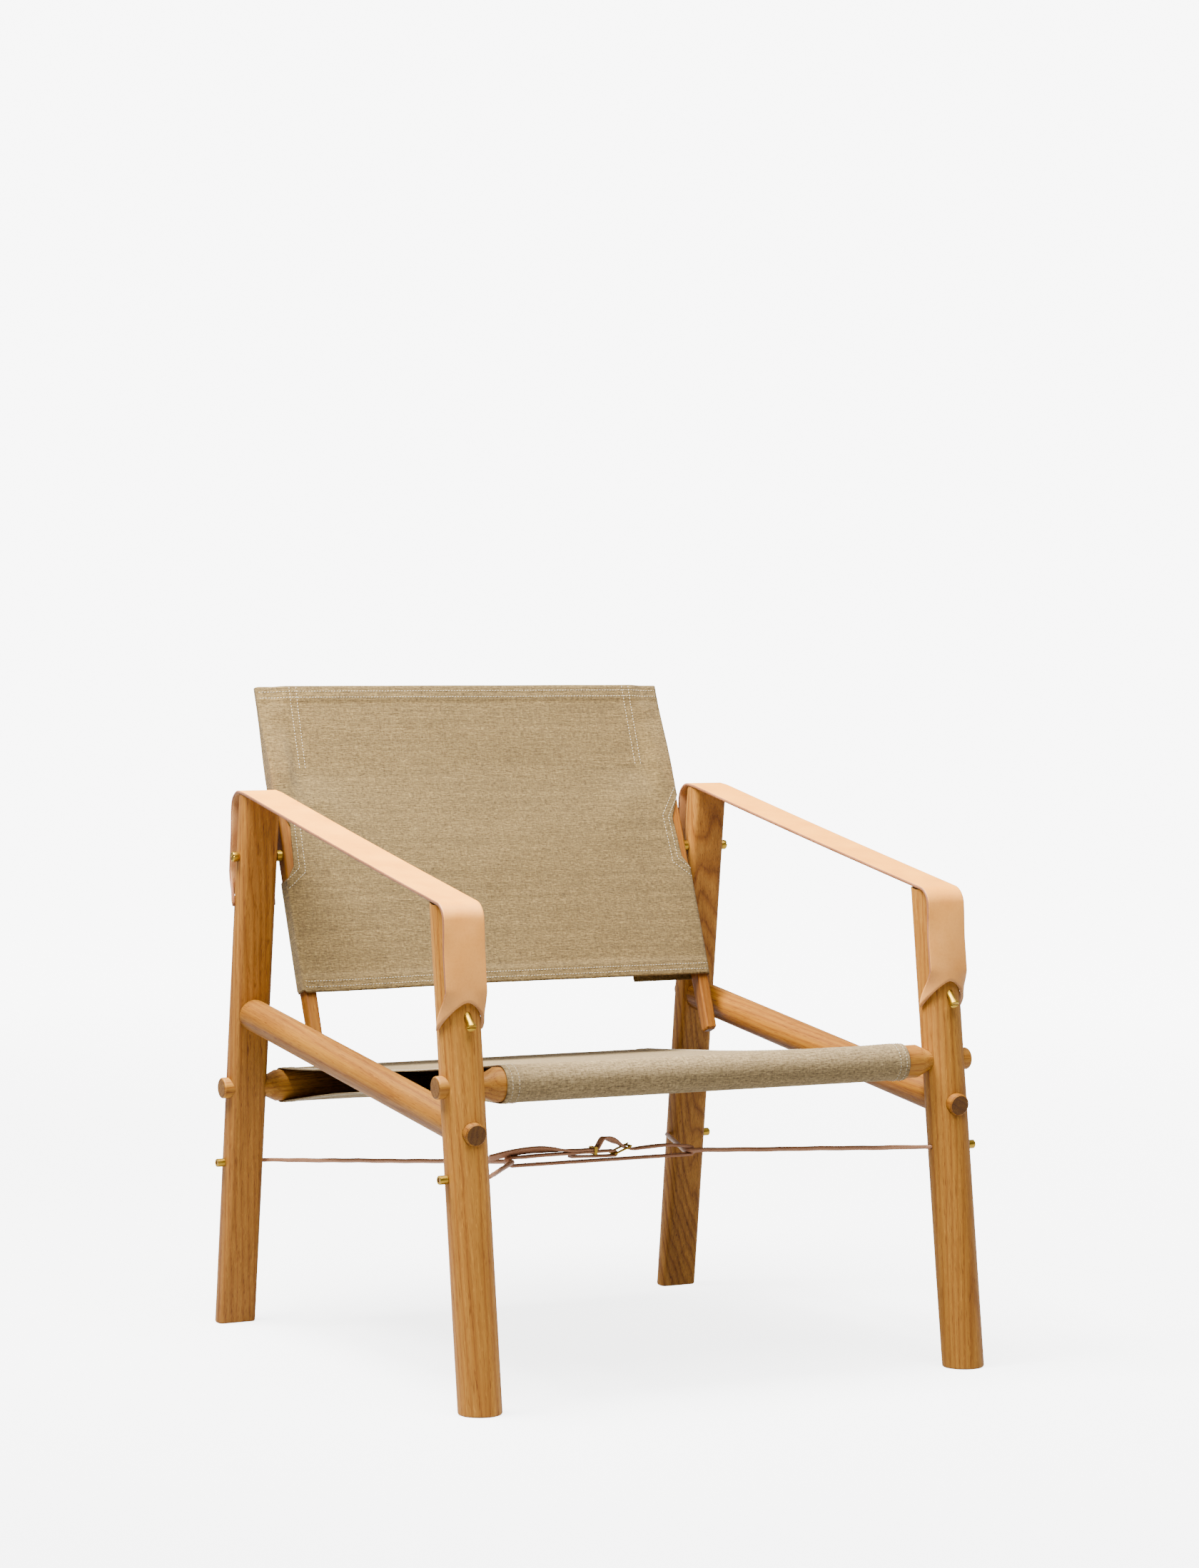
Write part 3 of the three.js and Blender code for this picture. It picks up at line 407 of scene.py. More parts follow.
def linen(name, tone_low, tone_high):
    finish, put = new_finish(name)
    flat = put("UVMap", uv_map="cloth").outputs["UV"]

    def yarns(axis, pitch, shift=0.0):
        return put("TexWave", {"Vector": flat, "Scale": 2 * math.pi / (20 * pitch), "Distortion": 1.1,
                               "Detail": 2, "Detail Scale": 0.9, "Phase Offset": shift},
                   wave_type="BANDS", bands_direction=axis).outputs["Fac"]

    def slub(stretch, scale):
        laid = put("Mapping", {"Vector": flat, "Scale": stretch})
        return put("TexNoise", {"Vector": laid.outputs[0], "Scale": scale, "Detail": 3,
                                "Roughness": 0.62}).outputs["Fac"]

    weave = put("Math", {0: yarns("X", 0.00095), 1: yarns("Y", 0.00105, 1.3)},
                operation="MULTIPLY").outputs[0]
    yarn_up = slub((1, 0.16, 1), 600)
    yarn_across = slub((0.13, 1, 1), 560)
    grain = slub((0.4, 1, 1), 640)
    rows = slub((0.03, 1, 1), 130)
    blots = slub((1, 1, 1), 30)
    straw = slub((1, 0.7, 1), 210)
    tone = ramp(put, yarn_across, (0.34, tone_low), (0.66, tone_high))
    for pattern, share, *stops in [(yarn_up, 0.9, (0.34, (0.76, 0.74, 0.7)), (0.66, 1.12)),
                                   (grain, 1.0, (0.32, (0.5, 0.47, 0.42)), (0.5, 1), (0.68, 1.42)),
                                   (rows, 0.8, (0.34, (0.8, 0.79, 0.76)), (0.62, 1.06)),
                                   (blots, 0.7, (0.3, (0.86, 0.85, 0.83)), (0.7, 1.04)),
                                   (weave, 0.75, (0.0, (0.66, 0.64, 0.61)), (0.45, 1)),
                                   (straw, 1.0, (0.26, (0.32, 0.26, 0.2)), (0.29, 1))]:
        tone = tinted(put, tone, ramp(put, pattern, *stops), share)
    height = weave
    for pattern in (yarn_up, yarn_across, grain):
        height = put("Math", {0: height, 1: pattern}, operation="ADD").outputs[0]
    relief = put("Bump", {"Height": height, "Strength": 0.7, "Distance": 0.0006})
    skin = put("BsdfPrincipled", {"Base Color": tone, "Roughness": 0.92, "Normal": relief.outputs[0],
                                  "Specular IOR Level": 0.15, "Sheen Weight": 0.08, "Sheen Roughness": 0.6})
    put("OutputMaterial", {"Surface": skin.outputs[0]})
    return finish


seat_linen = linen("seat_linen", (0.265, 0.184, 0.083), (0.424, 0.306, 0.15))
# The back's linen is the seat's cloth made darker: painted shade for the weaker light on the back panel.
back_linen_painted_shade = linen("back_linen_painted_shade", (0.163, 0.106, 0.036), (0.258, 0.176, 0.064))

thread, put = new_finish("linen_thread")
where = put("TexCoord")
twist = put("TexNoise", {"Vector": where.outputs["Object"], "Scale": 1500, "Detail": 2}).outputs["Fac"]
tone = ramp(put, twist, (0, (0.4, 0.335, 0.225)), (1, (0.68, 0.6, 0.45)))
skin = put("BsdfPrincipled", {"Base Color": tone, "Roughness": 0.75})
put("OutputMaterial", {"Surface": skin.outputs[0]})


def made_piece(name, form, *finishes):
    """Turns a form into an object of its own with its finishes"""
    mesh = bpy.data.meshes.new(name)
    form.to_mesh(mesh)
    form.free()
    for finish in finishes:
        mesh.materials.append(finish)
    piece = bpy.data.objects.new(name, mesh)
    bpy.context.scene.collection.objects.link(piece)
    return piece


def stitches(name, seams, body):
    """Rows of short thread stitches. Each seam is a list of (point, outward) along its line."""
    form = bmesh.new()
    girth, sides = 0.00036, 5
    for seam in seams:
        for (here, out), (there, _) in zip(seam[::2], seam[1::2]):
            run = (there - here).normalized()
            side = run.cross(out).normalized()
            rings = []
            for share, size, lift in [(0, 0.35, -0.3), (0.2, 1, 0.55), (0.8, 1, 0.55), (1, 0.35, -0.3)]:
                spot = here.lerp(there, share) + out * girth * lift
                rings.append([form.verts.new(spot + (side * math.cos(t) + out * math.sin(t)) * girth * size)
                              for t in (math.pi / sides * 2 * i for i in range(sides))])
            for a, b in zip(rings, rings[1:]):
                for i in range(sides):
                    form.faces.new((a[i], a[(i + 1) % sides], b[(i + 1) % sides], b[i]))
            form.faces.new(rings[0][::-1])
            form.faces.new(rings[-1])
    bmesh.ops.recalc_face_normals(form, faces=form.faces)
    for face in form.faces:
        face.smooth = True
    piece = made_piece(name, form, thread)
    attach(piece, body)
    return piece


def sewn_line(place, start, end, pitch=0.0036, share=0.62):
    """Points along a sewn line of the flat cloth: each stitch's start and end, with the way outward"""
    start, end = Vector(start), Vector(end)
    count = max(1, int((end - start).length / pitch))
    run = (end - start) / count
    return [place(*(start + run * at)) for i in range(count)
            for at in (i + (1 - share) / 2, i + (1 + share) / 2)]


def face_of(place, way=1):
    """The place function of a cloth's outer face, or of its inner face where way is -1"""
    def on_face(across, along):
        spot, out = place(across, along)
        return spot + out * (way * cloth_thickness / 2), out * way
    return on_face


def ripple(across, along, seed, height):
    """Gentle unevenness of cloth"""
    return noise.noise(Vector((across, along, seed))) * height


def sheet_of_cloth(name, form, place, finish, body):
    """Folds a flat pattern (metres, in its x and y) to its place, keeps the pattern as its
    UV map, and gives the cloth its thickness"""
    sheet = form.loops.layers.uv.new("cloth")
    for face in form.faces:
        face.smooth = True
        for loop in face.loops:
            loop[sheet].uv = loop.vert.co.xy
    for vert in form.verts:
        vert.co = place(vert.co.x, vert.co.y)[0]
    piece = made_piece(name, form, finish)
    pick(piece)
    wall = piece.modifiers.new("thickness", "SOLIDIFY")
    wall.thickness = cloth_thickness
    wall.offset = 0
    bpy.ops.object.modifier_apply(modifier="thickness")
    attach(piece, body)
    return piece


def flat_cloth(columns, rows):
    """A flat grid of cloth with its lines at the given places across and along"""
    form = bmesh.new()
    grid = [[form.verts.new((x, y, 0)) for x in columns] for y in rows]
    for low, high in zip(grid, grid[1:]):
        for i in range(len(columns) - 1):
            form.faces.new((low[i], low[i + 1], high[i + 1], high[i]))
    return form


def steps(*stops):
    """Evenly spaced places between stops, given as place, spacing, place, spacing, place ..."""
    places = [stops[0]]
    for low, gap, high in zip(stops[0::2], stops[1::2], stops[2::2]):
        count = max(1, round((high - low) / gap))
        places += [low + (high - low) * i / count for i in range(1, count + 1)]
    return places


# Seat: one closed band of canvas, hemmed along both sides with two rows of stitching and
# drawn tight over the two seat rails. Its upper layer sags a little, and its lower layer is
# drawn up a little, most of all along its two sides.
rail_front = Vector((0, -0.27889, 0.330))
rail_rear = Vector((0, 0.28562, 0.276))
band_radius = 0.0190
band_left, band_right = -0.2493, 0.2377
hem_width = 0.020
upper_sag, lower_rise, side_rise = 0.0046, 0.003, 0.008
span = rail_rear - rail_front
slope = math.atan2(span.z, span.y)
arc_length = math.pi * band_radius
band_length = 2 * span.length + 2 * arc_length


def on_band(x, s):
    """The seat's cloth at x across and s along it: over the top from front to rear, round the
    rear rail, back below and round the front rail"""
    s = s % band_length
    along = Vector((0, math.cos(slope), math.sin(slope)))
    up = Vector((0, -math.sin(slope), math.cos(slope)))
    inset = min(x - band_left, band_right - x)
    drop = 0
    if s < span.length:
        share = s / span.length
        hub, out, drop = rail_front.lerp(rail_rear, share), up, upper_sag * 4 * share * (1 - share)
    elif s < span.length + arc_length:
        turn = (s - span.length) / band_radius
        hub, out = rail_rear, up * math.cos(turn) + along * math.sin(turn)
    elif s < 2 * span.length + arc_length:
        share = (s - span.length - arc_length) / span.length
        rise = lower_rise + side_rise * smooth(1 - inset / 0.07)
        hub, out, drop = rail_rear.lerp(rail_front, share), -up, -rise * 4 * share * (1 - share)
    else:
        turn = (s - 2 * span.length - arc_length) / band_radius
        hub, out = rail_front, -up * math.cos(turn) - along * math.sin(turn)
    crease = ripple(x * 14, s * 9, 3.1, 0.0006) + ripple(x * 45, s * 30, 7.7, 0.00022)
    crease += ripple(x * 2.2, s * 3.0, 1.4, 0.0011)
    free = min(1.0, abs(drop) / 0.0012)
    hem = 0.00045 * max(0.0, min(1.0, (0.0178 - inset) / 0.0012))
    pucker = 0.000224 * math.sin(2 * math.pi * s / 0.0078 + ripple(s * 40, inset * 9, 0, 2))
    pucker *= max(0.0, 1 - abs(inset - 0.012) / 0.016)
    lift = band_radius + crease * free + hem + pucker
    return hub + Vector((x, 0, 0)) + out * lift - up * drop, out


seat_columns = steps(band_left, 0.0014, band_left + hem_width, 0.0075,
                     band_right - hem_width, 0.0014, band_right)
seat_rows = steps(0, 0.0036, span.length, 0.0027, span.length + arc_length, 0.0036,
                  2 * span.length + arc_length, 0.0027, band_length)
seat = sheet_of_cloth("seat_canvas_cloth", flat_cloth(seat_columns, seat_rows), on_band, seat_linen, "frame")
form = bmesh.new()
form.from_mesh(seat.data)
bmesh.ops.remove_doubles(form, verts=form.verts, dist=1e-6)
form.to_mesh(seat.data)
form.free()
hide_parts("seat_canvas")

seams = [sewn_line(face_of(on_band), (x, 0), (x, band_length))
         for x in (band_left + 0.0058, band_left + 0.0135, band_right - 0.0045, band_right - 0.0122)]
seat_thread = stitches("seat_canvas_stitches", seams, "frame")


# Back: one wide piece of canvas, folded round both stiles into pockets with a flap
# behind each. Its top and bottom are hemmed, pairs of sewn lines close the pockets at the
# top, and a faced notch in each side lets the pivot through.
back_face, back_edge, corner = 0.0110, 0.2633, 0.004
back_low, back_high = -0.164, 0.204
flap_x = 0.1719
flap_run = back_edge - corner - flap_x
turn_run = math.pi / 2 * corner
side_run = 2 * (back_face - corner)
front_run = 2 * (back_edge - corner)
stops = [0, flap_run, turn_run, side_run, turn_run, front_run, turn_run, side_run, turn_run, flap_run]
marks = [sum(stops[:i + 1]) for i in range(len(stops))]
back_width = marks[-1]
side_middle = marks[2] + side_run / 2


def bump_at(value, middle, spread):
    return math.exp(-((value - middle) / spread) ** 2)


def on_back(s, z):
    """The back's cloth at s across the flat pattern and z up it, in the chair's place"""
    left = s < back_width / 2
    t = s if left else back_width - s
    if t < marks[1]:
        x, y, out = -flap_x - t, back_face, Vector((0, 1, 0))
    elif t < marks[2]:
        a = (t - marks[1]) / corner
        x, y = -(back_edge - corner) - corner * math.sin(a), back_face - corner + corner * math.cos(a)
        out = Vector((-math.sin(a), math.cos(a), 0))
    elif t < marks[3]:
        x, y, out = -back_edge, back_face - corner - (t - marks[2]), Vector((-1, 0, 0))
    elif t < marks[4]:
        a = (t - marks[3]) / corner
        x, y = -(back_edge - corner) - corner * math.cos(a), -(back_face - corner) - corner * math.sin(a)
        out = Vector((-math.cos(a), -math.sin(a), 0))
    else:
        x, y, out = -(back_edge - corner) + (t - marks[4]), -back_face, Vector((0, -1, 0))
    if not left:
        x, out.x = -x, -out.x
    side_x = abs(x)
    low, top = z - back_low, back_high - z

    # Above the notch the pocket is sewn down beside the stile, and its top end is pressed flat
    near_seam = smooth((side_x - 0.12) / 0.09)
    start = -0.03 + 0.085 * near_seam
    sewn = smooth((z - start) / (0.14 - 0.095 * near_seam)) * smooth((0.2445 - side_x) / 0.0185)
    flat_top = smooth((z - 0.085) / 0.105)
    seam_y = -0.0045 - 0.018 * max(0.0, z - 0.103)
    y = y * (1 - 0.72 * flat_top ** 1.3) * (1 - sewn) + (seam_y + (0.0018 if y > 0 else 0)) * sewn

    # Soft waves, the hems' extra layer, the front's slight hollow and the puckers of its hems
    wave = ripple(x * 4.2, z * 5.5, 5.0, 0.0016) + ripple(x * 15, z * 18, 2.0, 0.0006)
    wave += ripple(x * 60, z * 60, 9.0, 0.00016)
    free = min(1.0, max(0.0, (0.246 - side_x) / 0.03))
    lift = wave * (0.25 + 0.75 * free) * (1 - 0.85 * sewn * smooth((side_x - 0.15) / 0.03))
    if abs(out.y) > 0.9:
        lift += 0.0009 * smooth((0.0195 - min(top, low)) / 0.002) * smooth((0.0005 + min(top, low)) / 0.001)
    if out.y < -0.9:
        lift -= 0.002 * free * math.cos(math.pi * (z - 0.02) / 0.42)
        for gap, depth, phase in ((top, 0.00035, 0), (low, 0.0004, 4)):
            pull = math.sin(2 * math.pi * s / 0.0083 + ripple(s * 30, phase, 0, 3))
            lift += depth * bump_at(gap, 0.009, 0.006) * pull
        puff = bump_at(side_x, 0.243, 0.011)
        lift += puff * 0.0022 * bump_at(top, 0.030, 0.011)
        if z > 0.08:
            lift += puff * smooth((z - 0.08) / 0.05) * ripple(z * 34, x * 40, 0.3, 0.0009)
        z -= 0.0028 * smooth(1 - low / 0.12) * smooth(-x / 0.25)
    elif left and out.y > 0:
        z += 0.004 * smooth(1 - low / 0.08)
    spot = Vector((x, y, z)) + out * lift
    return pivot + back_turn @ spot, back_turn @ out


back_columns = steps(0, 0.0062, marks[1], 0.0016, marks[4], 0.0022, marks[4] + 0.055, 0.0066,
                     marks[5] - 0.055, 0.0022, marks[5], 0.0016, marks[8], 0.0062, marks[9])
back_rows = steps(back_low, 0.0022, back_low + 0.02, 0.005, back_high - 0.022, 0.0019, back_high)
form = flat_cloth(back_columns, back_rows)

# The notch in the flat pattern, as straight cuts mirrored about each side's fold: each
# point is its distance from the fold and its height
fold_run = side_run / 2 + turn_run
notch = [(0.0, -0.0325), (side_run / 2 + turn_run / 2, -0.031),
         (fold_run + back_edge - corner - 0.2530, -0.0165),
         (fold_run + back_edge - corner - 0.2500, 0.0315),
         (side_run / 2 + turn_run / 2, 0.0615), (0.0, 0.0645)]


def in_notch(reach, height):
    """Whether a point of the pattern, reach from the fold, is cut away"""
    return all((c - a) * (height - b) - (d - b) * (reach - a) >= 0
               for (a, b), (c, d) in zip(notch, notch[1:]))


for middle in (side_middle, back_width - side_middle):
    for way in (-1, 1):
        for (a, b), (c, d) in zip(notch, notch[1:]):
            near = [f for f in form.faces if abs(f.calc_center_median().x - middle) < 0.032
                    and -0.05 < f.calc_center_median().y < 0.08]
            cut(form, near, (middle + way * a, b, 0),
                Vector((way * (c - a), d - b, 0)).cross(Vector((0, 0, 1))).normalized())
    gone = [f for f in form.faces
            if in_notch(abs(f.calc_center_median().x - middle), f.calc_center_median().y)]
    bmesh.ops.delete(form, geom=gone, context="FACES")

back = sheet_of_cloth("back_canvas_cloth", form, on_back, back_linen_painted_shade, "backrest")
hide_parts("back_canvas")


def panel(x):
    """Place across the flat pattern of a point on the front panel at x"""
    return marks[4] + (back_edge - corner) + x


front_seams, flap_seams = [], []
edge_left, edge_right = panel(-0.262), panel(0.262)
for inset in (0.0068, 0.0142):
    front_seams.append(((edge_left, back_high - inset), (edge_right, back_high - inset)))
    front_seams.append(((edge_left, back_low + inset * 0.9), (edge_right, back_low + inset * 0.9)))
    for low, high in ((0.003, marks[1]), (marks[8], back_width - 0.003)):
        flap_seams.append(((low, back_high - inset), (high, back_high - inset)))
        flap_seams.append(((low, back_low + inset), (high, back_low + inset)))
for way in (-1, 1):
    for top_x, low_x in ((0.2234, 0.2241), (0.2148, 0.2167)):
        front_seams.append(((panel(way * top_x), back_high - 0.001), (panel(way * low_x), 0.103)))
    for line in (((0.2630, 0.0620), (0.2448, 0.0335), (0.2470, -0.0190), (0.2635, -0.0330)),
                 ((0.2625, 0.0740), (0.2377, 0.0363), (0.2397, -0.0240), (0.2630, -0.0430))):
        for (a, b), (c, d) in zip(line, line[1:]):
            front_seams.append(((panel(way * a), b), (panel(way * c), d)))
both = [sewn_line(face_of(on_back), a, b) for a, b in front_seams + flap_seams]
both += [sewn_line(face_of(on_back, -1), a, b) for a, b in front_seams[:4]]
back_thread = stitches("back_canvas_stitches", both, "backrest")


# Arm straps: broad bands of natural saddle leather, 3.4 mm thick, pulled over the tops of
# a front and a rear leg. Their arched ends hug the round faces of the legs.
def saddle_leather(name, low, high, pore, dark_ends_and_painted_top_light=False):
    finish, put = new_finish(name)
    where = put("TexCoord")
    around = where.outputs["Object"]
    grain = put("TexVoronoi", {"Vector": around, "Scale": 1400, "Randomness": 1.0})
    cloud = put("TexNoise", {"Vector": around, "Scale": 26, "Detail": 4, "Roughness": 0.55}).outputs["Fac"]
    fine = put("TexNoise", {"Vector": around, "Scale": 480, "Detail": 3}).outputs["Fac"]
    tone = tinted(put, ramp(put, cloud, (0.3, low), (0.7, high)),
                  ramp(put, fine, (0.3, (0.93, 0.9, 0.87)), (0.6, 1)), 0.8)
    if dark_ends_and_painted_top_light:
        # Darker and duller towards the ends, and a deeper tan on upward faces: painted light, for the strong
        # light from above
        run = put("UVMap", uv_map="strap")
        for value, key, *stops in (
                (run.outputs["UV"], "Y", (0.0, (0.76, 0.78, 0.95)), (1.0, (1.08, 1.06, 1.02))),
                (where.outputs["Normal"], "Z", (0.35, 1), (0.9, (1, 0.94, 0.4)))):
            split = put("SeparateXYZ", {0: value})
            tone = tinted(put, tone, ramp(put, split.outputs[key], *stops))
    gloss = put("MapRange", {"Value": cloud, "From Min": 0.3, "From Max": 0.7,
                             "To Min": 0.42, "To Max": 0.55})
    relief = put("Bump", {"Height": grain.outputs["Distance"], "Strength": pore, "Distance": 0.00025})
    skin = put("BsdfPrincipled", {"Base Color": tone, "Roughness": gloss.outputs[0],
                                  "Normal": relief.outputs[0], "Specular IOR Level": 0.4})
    put("OutputMaterial", {"Surface": skin.outputs[0]})
    return finish


# The straps' leather is darker towards its ends and has painted light, a deeper tan, on its upward faces.
strap_skin = saddle_leather("saddle_leather", (0.79, 0.315, 0.052), (0.89, 0.385, 0.075), 0.18, True)
# The cut edge has its own darker colour, made darker still as painted shade for the shadowed gap along the
# strap's edges.
strap_cut_edge_and_shade = saddle_leather("saddle_leather_cut_edge_and_shade", (0.22, 0.085, 0.035), (0.32, 0.13, 0.055), 0.5)
strap_flesh = saddle_leather("saddle_leather_flesh_side", (0.5, 0.24, 0.09), (0.64, 0.34, 0.14), 0.9)
strap_width, strap_thickness, fit_gap = 0.047, 0.0034, 0.0003
arch_drop, tip_drop, wrap_drop = 0.102, 0.129, 0.079
strap_rounding = 0.0007
strips, end_rows = 28, 24


def strap_lines():
    """Lines across the strap, from the front end to the rear end. Each is a list of
    (point on the inner face, way outward) from left to right."""
    shares = [(i / strips * 2 - 1) * (1 - strap_rounding / strap_width * 2) for i in range(strips + 1)]
    lines = []

    def end_lines(side):
        """An end, from the leg's top down to its arched edge: flat at first, then bent round the leg"""
        made = []
        for row in range(1, end_rows + 1):
            line = []
            for across in shares:
                arch = 1.6 * across ** 2 / (1 + 0.6 * across ** 2)
                end_drop = arch_drop + (tip_drop - arch_drop) * arch
                drop = top_round + (end_drop - top_round) * row / end_rows
                blend = max(smooth((drop - wrap_drop) / (tip_drop - wrap_drop)),
                            0.14 * smooth((drop - top_round) / 0.04))
                turn = across * math.pi / 2
                reach = leg_radius + fit_gap
                hub = leg_at(side, leg_tops[side]) - leg_up(side) * drop
                round_way = Vector((math.sin(turn), math.cos(turn)))
                spot = Vector((across * strap_width / 2, reach)).lerp(round_way * reach, blend)
                out = Vector((0, 1)).lerp(round_way, blend).normalized()
                line.append((hub + Vector((spot.x, 0, 0)) + leg_out(side) * spot.y,
                             Vector((out.x, 0, 0)) + leg_out(side) * out.y))
            made.append(line)
        return made

    def across_at(spot, out):
        lines.append([(spot + Vector((a * strap_width / 2, 0, 0)), out) for a in shares])

    def over(hub, radius, start, end, count):
        for i in range(count + 1):
            turn = start + (end - start) * i / count
            out = Vector((0, math.cos(turn), math.sin(turn)))
            across_at(hub + out * radius, out)

    lines += end_lines(-1)[::-1]
    hubs = {s: leg_at(s, leg_tops[s]) + leg_out(s) * (leg_radius - top_round) - leg_up(s) * top_round
            for s in (-1, 1)}
    inner = leg_at(1, leg_tops[1]) - leg_out(1) * (leg_flat - inner_round) - leg_up(1) * inner_round
    gap = inner - hubs[-1]
    tangent = math.atan2(gap.z, gap.y) + math.acos((top_round - inner_round) / gap.length)
    out = Vector((0, math.cos(tangent), math.sin(tangent)))
    rear_level = math.pi / 2 + leg_lean
    over(hubs[-1], top_round + fit_gap, math.pi - leg_lean, tangent, 22)
    first, last = hubs[-1] + out * (top_round + fit_gap), inner + out * (inner_round + fit_gap)
    for i in range(1, 40):
        share = i / 40
        across_at(first.lerp(last, share) - out * (0.0009 * math.sin(math.pi * share)), out)
    over(inner, inner_round + fit_gap, tangent, rear_level, 4)
    over(hubs[1], top_round + fit_gap, rear_level, leg_lean, 22)
    lines += end_lines(1)
    return lines


def arm_strap(node, x):
    form = bmesh.new()
    run = form.loops.layers.uv.new("strap")
    rings = []
    for line in strap_lines():
        # The section: outer face, right edge, inner face, left edge
        (left, left_out), (right, right_out) = line[0], line[-1]
        way_left, way_right = (left - line[1][0]).normalized(), (right - line[-2][0]).normalized()
        near, far = strap_rounding, strap_thickness - strap_rounding
        spots = [spot + out * strap_thickness for spot, out in line]
        spots += [right + right_out * depth + way_right * strap_rounding for depth in (far, near)]
        spots += [spot for spot, out in reversed(line)]
        spots += [left + left_out * depth + way_left * strap_rounding for depth in (near, far)]
        rings.append([form.verts.new(spot + Vector((x, 0, 0))) for spot in spots])
    count = len(rings[0])
    skin, edge, flesh = 0, 1, 2
    for a, b in zip(rings, rings[1:]):
        for j in range(count):
            face = form.faces.new((a[j], a[(j + 1) % count], b[(j + 1) % count], b[j]))
            face.material_index = skin if j < strips else flesh if strips + 3 <= j < 2 * strips + 3 else edge
            face.smooth = True
    outer, inner = [count - 1] + list(range(strips + 2)), list(range(count - 2, strips + 1, -1))
    for ring in (rings[0], rings[-1]):
        for i in range(strips + 2):
            face = form.faces.new([ring[k] for k in (outer[i], outer[i + 1], inner[i + 1], inner[i])])
            face.material_index = flesh
    reach = {vert: min(i, len(rings) - 1 - i, end_rows) / end_rows
             for i, ring in enumerate(rings) for vert in ring}
    for face in form.faces:
        for loop in face.loops:
            loop[run].uv = (0.5, reach[loop.vert])
    bmesh.ops.recalc_face_normals(form, faces=form.faces)
    piece = made_piece(node + "_leather", form, strap_skin, strap_cut_edge_and_shade, strap_flesh)
    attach(piece, "frame")
    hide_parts(node)


arm_strap("arm_strap_left", -leg_x)
arm_strap("arm_strap_right", leg_x)


# Laces: round leather cord, one on each side, through the front leg, in to the belt and out
# through the rear leg. A brass ferrule on the leg's outer face grips each end.
lace_skin = saddle_leather("lace_leather", (0.38, 0.18, 0.095), (0.5, 0.25, 0.135), 0.35)
lace_radius, belt_y = 0.00225, -0.058
front_hole = Vector((0, -0.29048, 0.237))
rear_hole = Vector((0, 0.29646, 0.189))
ferrule_x, mouth_x = 0.3231, 0.266
loop_height = 0.21799


def rounded_turn(before, at, after, radius, count=12):
    """Points round a bend of a cord that goes from before past at to after"""
    a, b = (before - at).normalized(), (after - at).normalized()
    half = a.angle(b) / 2
    hub = at + (a + b).normalized() * radius / math.sin(half)
    start = at + a * radius / math.tan(half) - hub
    end = at + b * radius / math.tan(half) - hub
    sweep = start.angle(end)
    return [hub + start * math.sin((1 - t) * sweep) / math.sin(sweep)
            + end * math.sin(t * sweep) / math.sin(sweep)
            for t in (i / count for i in range(count + 1))]


def lace_route(sign, reach):
    """A lace's points from the front ferrule to the rear one, and its tip, reach from the middle"""
    outer, mouth = Vector((sign * ferrule_x, 0, 0)), Vector((sign * mouth_x, 0, 0))
    out_front, out_rear = front_hole + outer, rear_hole + outer
    in_front, in_rear = front_hole + mouth, rear_hole + mouth
    middle = Vector((sign * reach, belt_y, loop_height))
    tip = rounded_turn(in_front, middle, in_rear, 0.026)
    route = [out_front] + rounded_turn(out_front, in_front, middle, 0.006) + tip
    route += rounded_turn(middle, in_rear, out_rear, 0.006) + [out_rear]
    dense = [route[0]]
    for a, b in zip(route, route[1:]):
        count = max(1, int((b - a).length / 0.012))
        dense += [a.lerp(b, i / count) for i in range(1, count + 1)]
    for i, spot in enumerate(dense[3:-3]):
        spot.z += 0.00018 * math.sin(i * 1.7) + 0.00012 * math.sin(i * 0.61)
    return dense, tip[len(tip) // 2]


lace_tips = {}
for side, sign, reach in (("left", -1, 0.1218), ("right", 1, 0.0926)):
    route, lace_tips[side] = lace_route(sign, reach)
    cord = bpy.data.curves.new("lace_" + side, "CURVE")
    cord.dimensions = "3D"
    line = cord.splines.new("POLY")
    line.points.add(len(route) - 1)
    for point, spot in zip(line.points, route):
        point.co = (*spot, 1)
        point.radius = 1 + 0.16 * smooth((0.262 - abs(spot.x)) / 0.02)
    cord.bevel_depth = lace_radius
    cord.bevel_resolution = 3
    cord.use_fill_caps = True
    lace = bpy.data.objects.new(f"lace_{side}_cord", cord)
    bpy.context.scene.collection.objects.link(lace)
    pick(lace)
    bpy.ops.object.convert(target="MESH")
    lace = bpy.context.object
    form = bmesh.new()
    form.from_mesh(lace.data)
    bmesh.ops.remove_doubles(form, verts=form.verts, dist=1e-6)
    bmesh.ops.recalc_face_normals(form, faces=form.faces)
    form.to_mesh(lace.data)
    form.free()
    bpy.ops.object.shade_smooth_by_angle(angle=math.radians(50))
    lace.data.materials.clear()
    lace.data.materials.append(lace_skin)
    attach(lace, "frame")
    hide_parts("lace_" + side)


# Belt: one leather strap, 11 mm wide. Its end is turned round the buckle's bar; it runs
# round the left lace, back below, round the right lace, through the buckle and the keeper,
# and ends in a loose tail. The prong passes through it twice.
belt_skin = saddle_leather("belt_leather", (0.34, 0.155, 0.08), (0.44, 0.21, 0.11), 0.3)
belt_wide, belt_thick, belt_rounding = 0.011, 0.0024, 0.0006
bar = Vector((0.0015, 0.0025))
bar_turn, loop_turn = 0.0027, 0.00455
left_loop = Vector((lace_tips["left"].x - 0.0004, 0))
right_loop = Vector((lace_tips["right"].x + 0.0004, 0))
tail_roll, arch_roll = 41, 24


def round_loop(hub, radius, start, end, count):
    return [hub + Vector((math.cos(a), math.sin(a))) * radius
            for a in (start + (end - start) * i / count for i in range(count + 1))]


